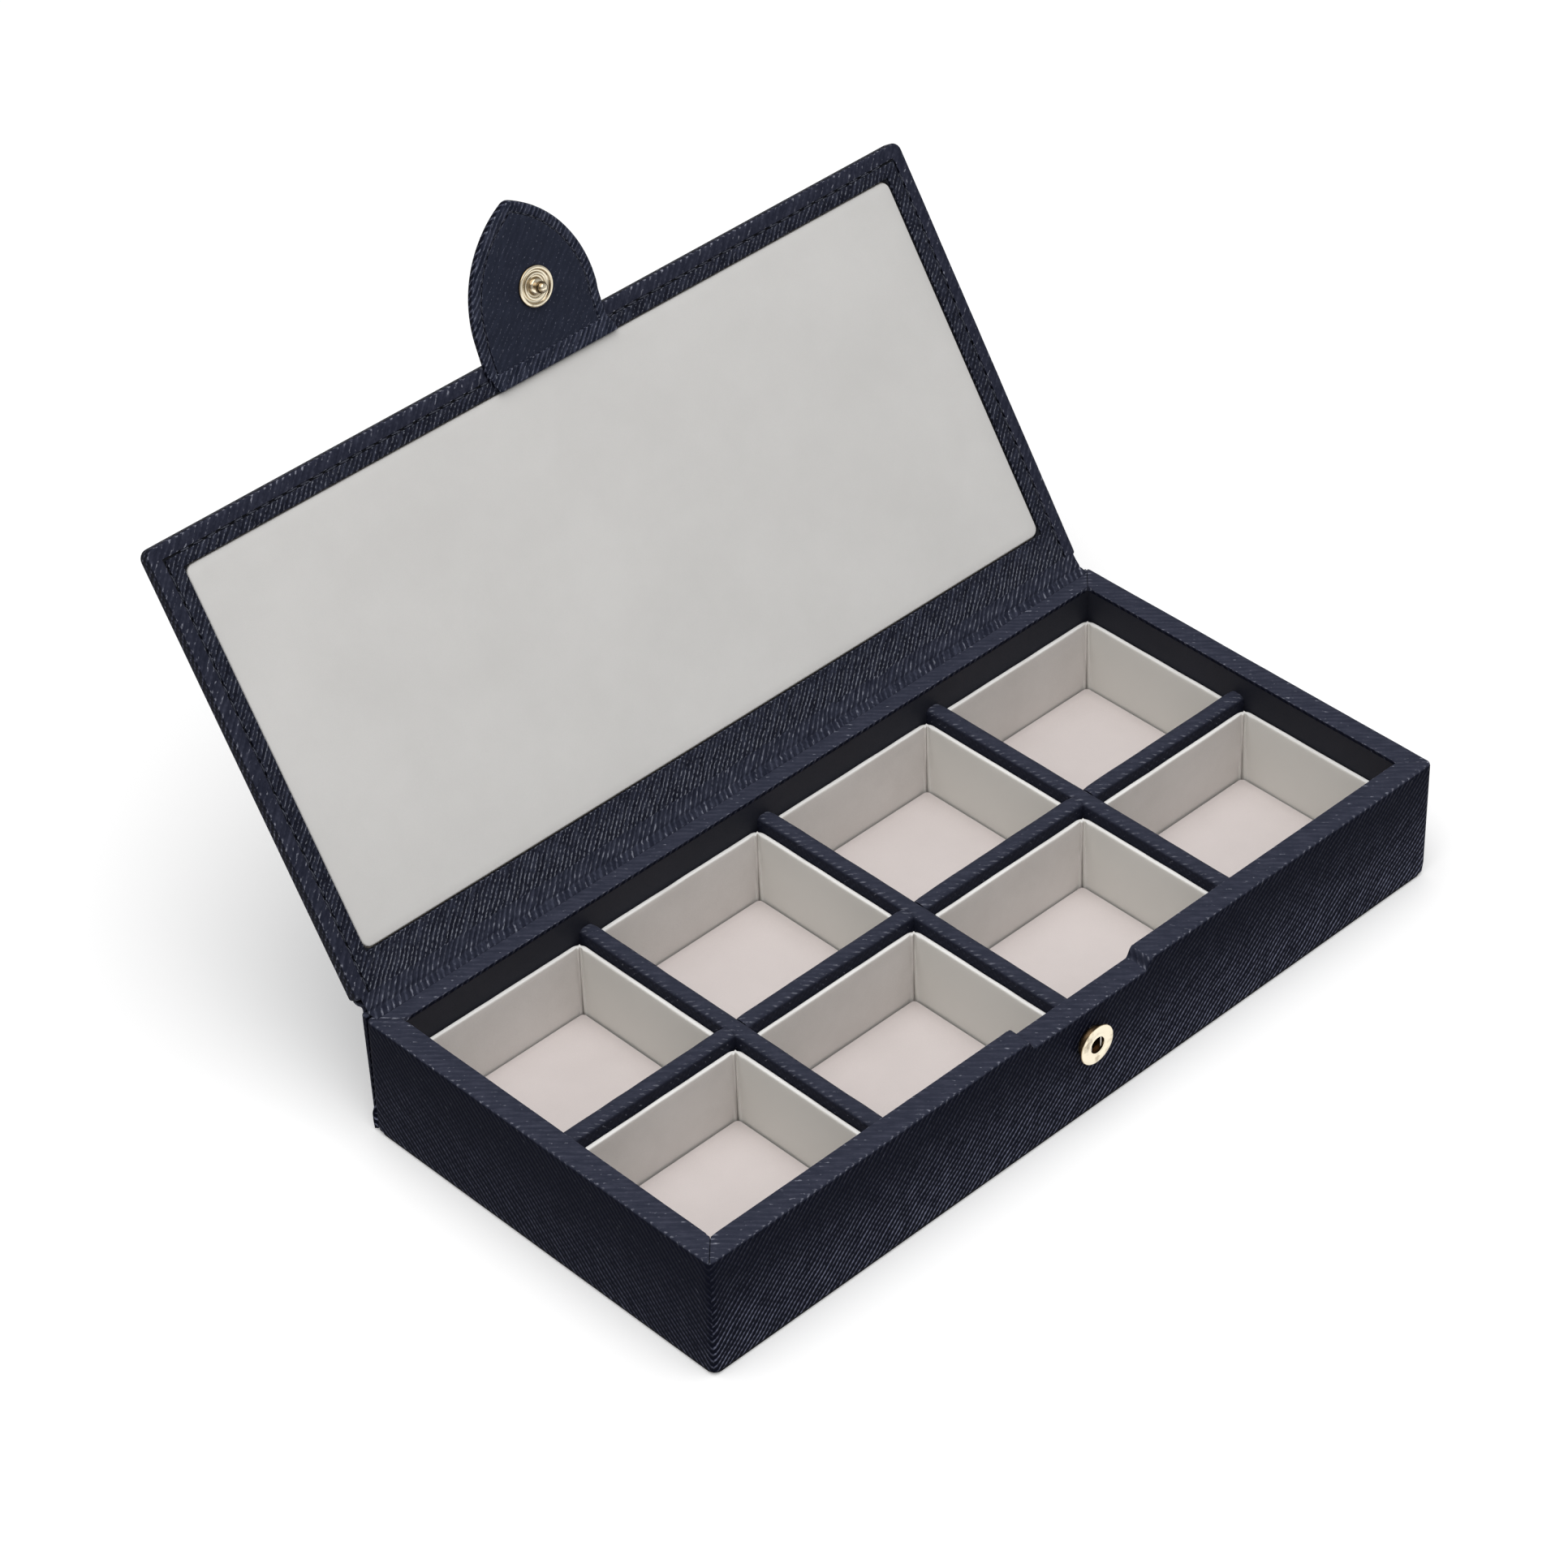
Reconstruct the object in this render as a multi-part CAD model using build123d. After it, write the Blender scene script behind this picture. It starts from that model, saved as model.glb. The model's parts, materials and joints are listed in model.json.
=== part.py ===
"""Leather cufflink box: a tray of eight suede-lined compartments, a hinged lid and a snap tab.

Millimetres. X runs along the box, -Y is the front, +Z is up. The origin is the centre of the underside.
The lid is modelled shut, as it is built, and then swung open about the hinge to its rest position.
"""
from build123d import *

import os
from math import atan2, cos, degrees, radians, sin, sqrt, tan

# Tray shell
tray_length = 230.0
tray_depth = 109.0
tray_height = 33.2
leather = 0.9                 # thickness of the covering leather
wall_board = 4.6
wall_lining = 0.6
tray_corner_radius = 2.2      # upright outer corners
rim_edge_radius = 1.1         # outer edge of the rim
base_cover_thickness = 1.0
base_cover_inset = 0.5
base_board_thickness = 2.4
mitre_width = 0.3             # open seams in the rim's corners
mitre_margin = 1.4            # how far each seam stops short of the outer corner

# Dividers and compartments
columns = 4
rows = 2
divider_thickness = 4.3
divider_leather = 0.7
divider_top_radius = 1.9
divider_drop = 5.7            # divider top below the rim
slot_clearance = 0.1
liner_thickness = 1.2
liner_drop = 9.2              # liner top below the rim
liner_inner_radius = 2.2      # upright inner corners
liner_clearance = 0.15
liner_edge_radius = 0.45
pad_thickness = 1.3
pad_clearance = 0.25
pad_edge_radius = 0.5

# Lid
lid_side_margin = 0.75        # lid edge inside the tray's end face
lid_thickness = 4.0
lid_corner_radius = 3.0
lid_outer_edge_radius = 1.5
lid_inner_edge_radius = 1.1
lid_gap = 0.2                 # between the rim and the shut lid
inner_leather = 0.7
frame_card = 0.8
seam_inset = 3.3              # from the lid's edge to the sewn seam
seam_gap = 0.5
panel_side_margin = 7.45
panel_front_margin = 7.1
panel_rear_margin = 8.9
panel_clearance = 0.3
panel_corner_radius = 2.2
panel_card = 0.5
panel_suede = 0.4
panel_edge_radius = 0.35
lid_opening = 123.0           # degrees from shut to fully open

# Hinge and back cover
hinge_setback = 2.1           # hinge axis behind the tray's rear face
hinge_rise = 0.8              # hinge axis above the rim
hinge_end_margin = 1.0
inner_hinge_leather_thickness = 0.5
inner_hinge_glued_height = 8.0
hinge_bend_radius = 0.5
outer_hinge_leather_thickness = 0.7
outer_hinge_rise = 1.15       # height of its first bend above the back cover's leather
outer_hinge_tail = 1.1        # straight end at the lid
spine_top_thickness = 2.7
spine_foot_thickness = 1.75
spine_drop = 0.4              # spine leather's top below the rim
spine_board_drop = 2.0
spine_foot_radius = 1.5

# Tab
tab_half_width = 17.3
tab_straight = 10.0           # length of the straight sides, from the crease
tab_side_radius = 27.5
tab_layer = 1.1               # thickness of each of its two leathers
tab_edge_radius = 0.8
tab_rest_tilt = 17.0          # degrees forward of the lid
tab_crease_inset = 3.25       # from the lid's front edge to the crease
tab_root_rise = 1.6           # tab's inner face above the lid's inner face, at the crease
tab_root_foot = 0.8           # thickness of the root beside the suede panel
tab_seam_inset = 2.4
tab_seam_tip_radius = 0.3     # the seam's inner side, at the tip
notch_clearance = 2.0         # dip in the front rim, beyond the tab on each side
notch_extra_depth = 0.2
notch_slope_extra = 0.1       # length of each sloping end beyond its height

# Press stud
stud_distance = 15.2          # from the crease along the tab
stud_flange_radius = 4.85
stud_flange_thickness = 0.55
stud_dish_radius = 3.7
stud_dish_depth = 0.2
stud_neck_radius = 1.1
stud_ball_radius = 1.45
stud_ball_height = 2.2        # ball centre above the tab
stud_boss_radius = 2.4
stud_boss_height = 1.0
rivet_disc_radius = 3.2
rivet_disc_thickness = 0.5
rivet_shank_radius = 1.2
socket_height = 2.2           # socket's face in front of the wall
socket_cap_radius = 5.1
socket_cap_thickness = 0.4
socket_hole_radius = 2.1
socket_body_radius = 3.8
socket_body_floor = 0.6
socket_spring_wire_radius = 0.2
socket_spring_half_gap = 1.55
socket_cavity_radius = 3.0
eyelet_wall = 0.4
eyelet_flange_radius = 4.0
eyelet_flange_thickness = 0.5
snap_clearance = 0.25         # stud flange to socket face, shut
bore_clearance = 0.05

# Stitching
stitch_length = 2.6
stitch_pitch = 3.75
stitch_thickness = 0.36

# Derived places
half_length = tray_length / 2
half_depth = tray_depth / 2
rim_width = leather + wall_board + wall_lining
base_top = base_cover_thickness + base_board_thickness
board_top = tray_height - leather
divider_top = tray_height - divider_drop
liner_top = tray_height - liner_drop
liner_corner_radius = liner_inner_radius + liner_thickness
inner_length = tray_length - 2 * rim_width
inner_depth = tray_depth - 2 * rim_width
cell_length = (inner_length - (columns - 1) * divider_thickness) / columns
cell_depth = (inner_depth - (rows - 1) * divider_thickness) / rows
slot_height = (base_top + divider_top) / 2
lid_width = tray_length - 2 * lid_side_margin
lid_half = lid_width / 2
lid_plane = tray_height + lid_gap
panel_width = lid_width - 2 * panel_side_margin
panel_depth = tray_depth - panel_front_margin - panel_rear_margin
hinge_y = half_depth + hinge_setback
hinge_z = tray_height + hinge_rise
lid_slope = radians(180 - lid_opening)    # open lid's angle to the table
tab_thickness = 2 * tab_layer
notch_depth = tab_thickness + notch_extra_depth
notch_slope = notch_depth + notch_slope_extra
notch_half_width = tab_half_width + notch_clearance
tab_tilt = radians(tab_rest_tilt)
tab_tip_radius = tab_seam_inset + seam_gap + tab_seam_tip_radius
tab_side_centre = tab_half_width - tab_side_radius
tab_tip_centre = tab_straight + sqrt((tab_side_radius - tab_tip_radius) ** 2 - tab_side_centre ** 2)
tab_length = tab_tip_centre + tab_tip_radius
tab_standoff = socket_height + stud_flange_thickness + snap_clearance
fold_distance = (tab_crease_inset + tab_standoff) / cos(tab_tilt)
crease_y = tab_crease_inset - half_depth
crease_z = lid_plane - tab_root_rise
fold_y = crease_y - fold_distance * cos(tab_tilt)
fold_z = crease_z - fold_distance * sin(tab_tilt)
socket_z = fold_z - (stud_distance - fold_distance)

hinge_axis = Axis((0, hinge_y, hinge_z), (1, 0, 0))
tab_plane = Plane(origin=(0, crease_y, crease_z), x_dir=(1, 0, 0), z_dir=(0, sin(tab_tilt), -cos(tab_tilt)))


# Helpers
def block(x_range, y_range, z_range):
    """Box between the given limits."""
    size = [high - low for low, high in (x_range, y_range, z_range)]
    centre = [(high + low) / 2 for low, high in (x_range, y_range, z_range)]
    return Pos(*centre) * Box(*size)


def rounded_slab(length, depth, radius, z_range, centre=(0, 0)):
    """Upright slab with rounded corners in plan."""
    sketch = Pos(centre[0], centre[1]) * RectangleRounded(length, depth, radius)
    return Pos(0, 0, z_range[0]) * extrude(sketch, z_range[1] - z_range[0])


def flat_face(plane, edges):
    """Face in a plane, bounded by edges that are drawn in the plane's own x and y."""
    return plane * make_face(edges)


def side_prism(points, half_width):
    """Polygon of (y, z) points, carried along X to both sides."""
    face = flat_face(Plane.YZ, Polyline(*points, close=True).edges())
    return extrude(face, amount=half_width, both=True)


def unit(vector):
    """Vector of length 1 in the same direction."""
    length = sqrt(vector[0] ** 2 + vector[1] ** 2)
    return (vector[0] / length, vector[1] / length)


def offset_corners(points, distance):
    """Corners of a polyline moved sideways, to its left for a positive distance."""
    directions = [unit((b[0] - a[0], b[1] - a[1])) for a, b in zip(points, points[1:])]
    directions = [directions[0]] + directions + [directions[-1]]
    moved = []
    for point, before, after in zip(points, directions, directions[1:]):
        middle = unit((before[0] + after[0], before[1] + after[1]))
        reach = distance / (middle[0] * after[0] + middle[1] * after[1])
        moved.append((point[0] - middle[1] * reach, point[1] + middle[0] * reach))
    return moved


def strip_prism(points, thickness, radius, half_width):
    """Leather strip along a bent line of (y, z) points, its bends rounded, carried along X."""
    turns = []
    for a, b, c in zip(points, points[1:], points[2:]):
        turns.append((b[0] - a[0]) * (c[1] - b[1]) - (b[1] - a[1]) * (c[0] - b[0]))
    left_radii = [radius - thickness / 2 if turn > 0 else radius + thickness / 2 for turn in turns]
    right_radii = [radius + thickness / 2 if turn > 0 else radius - thickness / 2 for turn in turns]
    left = FilletPolyline(*offset_corners(points, thickness / 2), radius=left_radii)
    right = FilletPolyline(*offset_corners(points, -thickness / 2), radius=right_radii)
    ends = [Line(left @ 0, right @ 0), Line(left @ 1, right @ 1)]
    face = flat_face(Plane.YZ, [*left.edges(), *right.edges(), *ends])
    return extrude(face, amount=half_width, both=True)


def swung_open(shape):
    """Shape of the shut lid, turned to the open rest position."""
    return shape.rotate(hinge_axis, -lid_opening)


def swung_point(y, z):
    """The (y, z) place that a point of the shut lid takes when the lid is open."""
    turn = radians(-lid_opening)
    dy, dz = y - hinge_y, z - hinge_z
    return (hinge_y + dy * cos(turn) - dz * sin(turn), hinge_z + dy * sin(turn) + dz * cos(turn))


def notch_prism(drop, grow, y_range):
    """Cutter for the dip in the front rim: flat floor, ends that slope in two tangent arcs."""
    top = tray_height - drop
    floor = top - notch_depth
    outer = notch_half_width + grow
    inner = outer - notch_slope
    middle = ((outer + inner) / 2, (top + floor) / 2)
    sky = top + notch_depth
    first = TangentArc((outer, top), middle, tangent=(-1, 0))
    second = TangentArc(middle, (inner, floor), tangent=first % 1)
    right = [Line((outer, sky), (outer, top)), first, second]
    left = [edge.mirror(Plane.YZ) for edge in right]
    closing = [Line((inner, floor), (-inner, floor)), Line((-outer, sky), (outer, sky))]
    face = flat_face(Plane.XZ, [*right, *left, *closing])
    return Pos(0, y_range[1], 0) * extrude(face, y_range[1] - y_range[0])


def cell_centre(column, row):
    """Centre of a compartment in plan; column 0 is at the left, row 0 at the front."""
    x = -inner_length / 2 + cell_length / 2 + column * (cell_length + divider_thickness)
    y = -inner_depth / 2 + cell_depth / 2 + row * (cell_depth + divider_thickness)
    return x, y


def divider_places(cell, count, inner):
    """Centres of the dividers between a number of equal cells."""
    first = -inner / 2 + cell + divider_thickness / 2
    return [first + index * (cell + divider_thickness) for index in range(count - 1)]


cross_divider_xs = divider_places(cell_length, columns, inner_length)
long_divider_ys = divider_places(cell_depth, rows, inner_depth)


# Tray shell
def make_base_cover():
    """Thin sheet that closes the underside and rests on the table."""
    inset = 2 * base_cover_inset
    return rounded_slab(tray_length - inset, tray_depth - inset, tray_corner_radius, (0, base_cover_thickness))


def make_base_board():
    """Stiff board under the compartments, inside the leather."""
    z_range = (base_cover_thickness, base_top)
    return rounded_slab(tray_length - 2 * leather, tray_depth - 2 * leather, tray_corner_radius - leather, z_range)


def wall_shell():
    """The four wall boards as one ring, with the dip in the front one."""
    z_range = (base_top, board_top)
    outer = rounded_slab(tray_length - 2 * leather, tray_depth - 2 * leather, tray_corner_radius - leather, z_range)
    reach = wall_board + leather
    inside = block(
        (reach - half_length, half_length - reach), (reach - half_depth, half_depth - reach), z_range
    )
    return outer - inside - notch_prism(leather, leather, (-half_depth, 0))


def eyelet_bore(radius, y_range):
    """Cylinder along Y at the socket's height."""
    length = y_range[1] - y_range[0]
    cylinder = Cylinder(radius, length, rotation=(90, 0, 0))
    return Pos(0, (y_range[0] + y_range[1]) / 2, socket_z) * cylinder


def make_front_wall_board():
    """Front board, with the dip for the tab and the hole for the socket's eyelet."""
    inner_face = leather + wall_board - half_depth
    board = wall_shell() & block((-half_length, half_length), (-half_depth, inner_face), (0, tray_height))
    bore = socket_hole_radius + eyelet_wall + bore_clearance
    flange = eyelet_flange_radius + bore_clearance
    board -= eyelet_bore(bore, (-half_depth, inner_face))
    return board - eyelet_bore(flange, (inner_face - eyelet_flange_thickness, inner_face))


def make_rear_wall_board():
    """Rear board, as long as the tray inside the leather."""
    inner_face = half_depth - leather - wall_board
    return wall_shell() & block((-half_length, half_length), (inner_face, half_depth), (0, tray_height))


def make_end_wall_board(side):
    """Board of the left (-1) or right (+1) end, between the front and rear boards."""
    inner_face = half_length - leather - wall_board
    limits = sorted((side * inner_face, side * half_length))
    depth = half_depth - leather - wall_board
    return wall_shell() & block(limits, (-depth, depth), (0, tray_height))


def make_tray_lining():
    """Smooth dark lining on the inner faces of the walls."""
    z_range = (base_top, board_top)
    outer = block(
        (-inner_length / 2 - wall_lining, inner_length / 2 + wall_lining),
        (-inner_depth / 2 - wall_lining, inner_depth / 2 + wall_lining),
        z_range,
    )
    inside = block((-inner_length / 2, inner_length / 2), (-inner_depth / 2, inner_depth / 2), z_range)
    return outer - inside - notch_prism(leather, leather, (-half_depth, 0))


def is_rim_edge(edge):
    """True for an edge along the outside of the rim, the dip's edge included."""
    centre = edge.center()
    low = tray_height - notch_depth - 0.01
    on_side = max(abs(centre.X) - half_length, abs(centre.Y) - half_depth) > -tray_corner_radius
    box = edge.bounding_box()
    upright = box.size.X < 0.01 and box.size.Y < 0.01
    return on_side and centre.Z > low and not upright


def make_tray_leather():
    """Leather over the outside of the walls and the rim, its rim seams open at three corners."""
    z_range = (base_cover_thickness, tray_height)
    outer = rounded_slab(tray_length, tray_depth, tray_corner_radius, z_range)
    outer -= notch_prism(0, 0, (-half_depth - 1, 0))
    outer = fillet(outer.edges().filter_by(is_rim_edge), rim_edge_radius)
    boards = rounded_slab(
        tray_length - 2 * leather,
        tray_depth - 2 * leather,
        tray_corner_radius - leather,
        (0, board_top),
    )
    boards -= notch_prism(leather, leather, (-half_depth, 0))
    opening = block((-inner_length / 2, inner_length / 2), (-inner_depth / 2, inner_depth / 2), (0, 2 * tray_height))
    skin = outer - boards - opening
    skin -= eyelet_bore(socket_hole_radius + eyelet_wall + bore_clearance, (-half_depth, leather - half_depth))
    seam_length = sqrt(2) * (rim_width - mitre_margin)
    for x_side, y_side in ((-1, -1), (-1, 1), (1, 1)):
        seam = Pos((seam_length - rim_width) / 2, 0, 0) * Box(seam_length + rim_width, mitre_width, 4 * leather)
        angle = {(-1, -1): 225, (-1, 1): 135, (1, 1): 45}[(x_side, y_side)]
        skin -= Pos(x_side * inner_length / 2, y_side * inner_depth / 2, tray_height) * Rot(0, 0, angle) * seam
    return skin


# Dividers
def divider_bar(length, thickness, top, top_radius):
    """Bar along X with a rounded top, standing on the base board."""
    half = thickness / 2
    radius = min(top_radius, 0.98 * half)
    section = Rectangle(thickness, top - base_top)
    section = Pos(0, (top + base_top) / 2) * section
    section = fillet(section.vertices().group_by(Axis.Y)[-1], radius)
    return extrude(Plane.YZ * section, amount=length / 2, both=True)


def crossing_slot(along, z_range):
    """Slot for a divider that crosses at X = along."""
    reach = divider_thickness / 2 + slot_clearance
    return block((along - reach, along + reach), (-divider_thickness, divider_thickness), z_range)


def make_long_divider():
    """Core and leather of the divider along the tray, slotted from above where the others cross."""
    full = divider_bar(inner_length, divider_thickness, divider_top, divider_top_radius)
    core = divider_bar(
        inner_length,
        divider_thickness - 2 * divider_leather,
        divider_top - divider_leather,
        divider_top_radius - divider_leather,
    )
    cover = full - core
    for x in cross_divider_xs:
        slot = crossing_slot(x, (slot_height, tray_height))
        core -= slot
        cover -= slot
    return Pos(0, long_divider_ys[0], 0) * core, Pos(0, long_divider_ys[0], 0) * cover


def make_cross_divider(x):
    """Core and leather of one divider across the tray, slotted from below over the long one."""
    full = divider_bar(inner_depth, divider_thickness, divider_top, divider_top_radius)
    core = divider_bar(
        inner_depth,
        divider_thickness - 2 * divider_leather,
        divider_top - divider_leather,
        divider_top_radius - divider_leather,
    )
    cover = full - core
    for y in long_divider_ys:
        slot = crossing_slot(y, (0, slot_height))
        core -= slot
        cover -= slot
    place = Pos(x, 0, 0) * Rot(0, 0, 90)
    return place * core, place * cover


# Compartments
def make_liner(column, row):
    """Suede wall liner of one compartment: a sleeve of covered card with a rounded top edge."""
    centre = cell_centre(column, row)
    length = cell_length - 2 * liner_clearance
    depth = cell_depth - 2 * liner_clearance
    z_range = (base_top, liner_top)
    outer = rounded_slab(length, depth, liner_corner_radius, z_range, centre)
    wall = 2 * liner_thickness
    inner_radius = liner_corner_radius - liner_thickness
    sleeve = outer - rounded_slab(length - wall, depth - wall, inner_radius, z_range, centre)
    top_edges = sleeve.edges().group_by(Axis.Z)[-1]
    return fillet(top_edges, liner_edge_radius)


def make_floor_pad(column, row):
    """Suede floor pad of one compartment, with rounded upper edges."""
    inset = 2 * (liner_clearance + liner_thickness + pad_clearance)
    radius = liner_corner_radius - liner_thickness - pad_clearance
    z_range = (base_top, base_top + pad_thickness)
    pad = rounded_slab(cell_length - inset, cell_depth - inset, radius, z_range, cell_centre(column, row))
    return fillet(pad.edges().group_by(Axis.Z)[-1], pad_edge_radius)


# Snap socket on the front wall
def turned_part(points, place):
    """Solid turned from a half section of (radius, height) points about the height axis."""
    face = flat_face(Plane.XZ, Polyline(*points, close=True).edges())
    return place * revolve(face, Axis.Z)


socket_place = Pos(0, -half_depth, socket_z) * Rot(90, 0, 0)


def make_socket_cap():
    """Flat ring at the front of the socket."""
    back = socket_height - socket_cap_thickness
    points = [
        (socket_hole_radius, back),
        (socket_cap_radius, back),
        (socket_cap_radius, socket_height),
        (socket_hole_radius, socket_height),
    ]
    cap = turned_part(points, Pos(0, 0, 0))
    outer_rim = cap.edges().group_by(SortBy.LENGTH)[-1]
    return socket_place * fillet(outer_rim, socket_cap_thickness * 0.45)


def make_socket_body():
    """Cup behind the ring, open to the eyelet."""
    front = socket_height - socket_cap_thickness
    points = [
        (socket_hole_radius, 0),
        (socket_body_radius, 0),
        (socket_body_radius, front),
        (socket_cavity_radius, front),
        (socket_cavity_radius, socket_body_floor),
        (socket_hole_radius, socket_body_floor),
    ]
    return turned_part(points, socket_place)


def make_socket_spring():
    """Two spring wires that grip the stud behind its ball."""
    height = socket_height - socket_cap_thickness - socket_spring_wire_radius
    half = sqrt(socket_cavity_radius ** 2 - socket_spring_half_gap ** 2) - socket_spring_wire_radius
    wires = []
    for side in (-1, 1):
        wire = Rot(90, 0, 0) * Cylinder(socket_spring_wire_radius, 2 * half)
        wires.append(socket_place * Pos(side * socket_spring_half_gap, 0, height) * wire)
    return Compound(children=wires)


def make_socket_eyelet():
    """Flanged tube that clamps the socket through the leather and the front board."""
    depth = leather + wall_board
    outer = socket_hole_radius + eyelet_wall
    points = [
        (socket_hole_radius, 0),
        (outer, 0),
        (outer, eyelet_flange_thickness - depth),
        (eyelet_flange_radius, eyelet_flange_thickness - depth),
        (eyelet_flange_radius, -depth),
        (socket_hole_radius, -depth),
    ]
    return turned_part(points, socket_place)


# Back cover and hinge
def spine_outer(z):
    """Y of the back cover's outer face at a height."""
    low, high = base_cover_thickness, tray_height - spine_drop
    share = (z - low) / (high - low)
    return half_depth + spine_foot_thickness + share * (spine_top_thickness - spine_foot_thickness)


def make_spine_board():
    """Card inside the back cover, rebated at the top for the inner hinge leather."""
    foot = base_cover_thickness + leather
    step = board_top - spine_board_drop - inner_hinge_glued_height
    top = tray_height - spine_board_drop
    rebate = half_depth + inner_hinge_leather_thickness
    points = [
        (half_depth, foot),
        (half_depth, step),
        (rebate, step),
        (rebate, top),
        (spine_outer(top) - leather, top),
        (spine_outer(foot) - leather, foot),
    ]
    return side_prism(points, lid_half - leather)


def make_spine_leather():
    """Leather of the back cover, from under its foot up to the hinge."""
    foot, top = base_cover_thickness, tray_height - spine_drop
    outer = side_prism(
        [(half_depth, foot), (half_depth, top), (spine_outer(top), top), (spine_outer(foot), foot)], lid_half
    )
    foot_edges = outer.edges().filter_by(Axis.X).sort_by(Axis.Z)[:2].sort_by(Axis.Y)[-1:]
    outer = fillet(foot_edges, spine_foot_radius)
    inner_foot = foot + leather
    inside = side_prism(
        [
            (half_depth, inner_foot),
            (half_depth, top),
            (spine_outer(top) - leather, top),
            (spine_outer(inner_foot) - leather, inner_foot),
        ],
        lid_half - leather,
    )
    return outer - inside


def make_outer_hinge_leather():
    """Leather from the top of the back cover to the lid's outer face, slack while the lid is open."""
    spine_top = tray_height - spine_drop
    thickness = outer_hinge_leather_thickness
    start_y = spine_outer(spine_top) - thickness / 2
    lid_end = swung_point(half_depth, lid_plane + lid_thickness - thickness / 2)
    before = (lid_end[0] - outer_hinge_tail * cos(lid_slope), lid_end[1] - outer_hinge_tail * sin(lid_slope))
    points = [(start_y, spine_top), (start_y, spine_top + outer_hinge_rise), before, lid_end]
    return strip_prism(points, thickness, hinge_bend_radius, lid_half - hinge_end_margin)


def make_inner_hinge_leather():
    """Leather glued behind the rear wall, rising to the lid's inner leather."""
    thickness = inner_hinge_leather_thickness
    lid_end = swung_point(half_depth, lid_plane + thickness / 2)
    bend_y = half_depth + thickness / 2
    bend_z = lid_end[1] - (lid_end[0] - bend_y) * tan(lid_slope)
    foot = board_top - spine_board_drop - inner_hinge_glued_height
    points = [(bend_y, foot), (bend_y, bend_z), lid_end]
    return strip_prism(points, thickness, 2 * hinge_bend_radius, lid_half - hinge_end_margin)


# Lid, modelled shut
def lid_outline(inset, rear_inset=0.0):
    """Plan of the lid, moved inwards; its front corners are rounded."""
    front = inset - half_depth
    rear = half_depth - rear_inset
    outline = Pos(0, (front + rear) / 2) * Rectangle(lid_width - 2 * inset, rear - front)
    radius = max(lid_corner_radius - inset, 0.4)
    return fillet(outline.vertices().group_by(Axis.Y)[0], radius)


def lid_layer(sketch, low, high):
    """Layer of the shut lid between two heights above its inner face."""
    return Pos(0, 0, lid_plane + low) * extrude(sketch, high - low)


def panel_outline(grow=0.0):
    """Plan of the suede panel, or of its window when grown."""
    centre_y = (panel_front_margin - panel_rear_margin) / 2
    outline = RectangleRounded(panel_width + 2 * grow, panel_depth + 2 * grow, panel_corner_radius + grow)
    return Pos(0, centre_y) * outline


board_low = inner_leather + frame_card
board_high = lid_thickness - leather


def make_lid_board():
    """Stiff board of the lid."""
    return lid_layer(lid_outline(leather), board_low, board_high)


def make_lid_frame_card():
    """Card frame around the suede panel."""
    return lid_layer(lid_outline(leather) - panel_outline(panel_clearance), inner_leather, board_low)


def make_lid_leather():
    """Outer leather of the lid, turned in over the front and end edges as far as the seam."""
    outer = lid_layer(lid_outline(0), 0, lid_thickness)
    flat_edges = [edge for edge in outer.edges() if edge.bounding_box().size.Z < 0.01]
    free_edges = [edge for edge in flat_edges if edge.center().Y < half_depth - 0.01]
    upper = [edge for edge in free_edges if edge.center().Z > lid_plane + lid_thickness / 2]
    outer = fillet(upper, lid_outer_edge_radius)
    flat_edges = [edge for edge in outer.edges() if edge.bounding_box().size.Z < 0.01]
    lower = [edge for edge in flat_edges if edge.center().Z < lid_plane + 0.01]
    lower = [edge for edge in lower if edge.center().Y < half_depth - 0.01]
    outer = fillet(lower, lid_inner_edge_radius)
    outer -= lid_layer(lid_outline(leather), inner_leather, board_high)
    return outer - lid_layer(lid_outline(seam_inset), 0, inner_leather)


def make_lid_border_leather():
    """Inner leather of the lid between the seam and the suede panel, running back to the hinge."""
    return lid_layer(lid_outline(seam_inset + seam_gap) - panel_outline(panel_clearance), 0, inner_leather)


def make_lid_panel_card():
    """Card under the suede panel."""
    outline = panel_outline(-panel_suede)
    return lid_layer(outline, board_low - panel_card, board_low)


def make_lid_panel_suede():
    """Suede of the lid's panel, wrapped over the edge of its card."""
    low = board_low - panel_card - panel_suede
    cover = lid_layer(panel_outline(), low, board_low)
    cover = fillet(cover.edges().group_by(Axis.Z)[0], panel_edge_radius)
    return cover - lid_layer(panel_outline(-panel_suede), board_low - panel_card, board_low)


def stitch_centres(length):
    """Centres of evenly spaced stitches along a run of seam."""
    count = int(length // stitch_pitch)
    return [(index - (count - 1) / 2) * stitch_pitch for index in range(count)]


def make_lid_seam_thread():
    """Stitches along the front and end seams, lying in the seam."""
    seam_x = lid_half - seam_inset - seam_gap / 2
    seam_y = seam_inset + seam_gap / 2 - half_depth
    corner = lid_corner_radius + stitch_length / 2
    z = lid_plane + inner_leather - stitch_thickness / 2
    along_x = Box(stitch_length, stitch_thickness, stitch_thickness)
    along_y = Box(stitch_thickness, stitch_length, stitch_thickness)
    stitches = [Pos(x, seam_y, z) * along_x for x in stitch_centres(2 * (seam_x - corner))]
    end_run = half_depth - seam_y - 2 * corner
    for y in stitch_centres(end_run):
        for side in (-1, 1):
            stitches.append(Pos(side * seam_x, seam_y + corner + end_run / 2 + y, z) * along_y)
    return Compound(children=stitches)


# Tab
def lid_side_points(pairs):
    """Turn (distance behind the crease, depth below the lid's inner face) into (y, z) of the shut lid."""
    return [(crease_y + back, lid_plane - depth) for back, depth in pairs]


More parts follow.
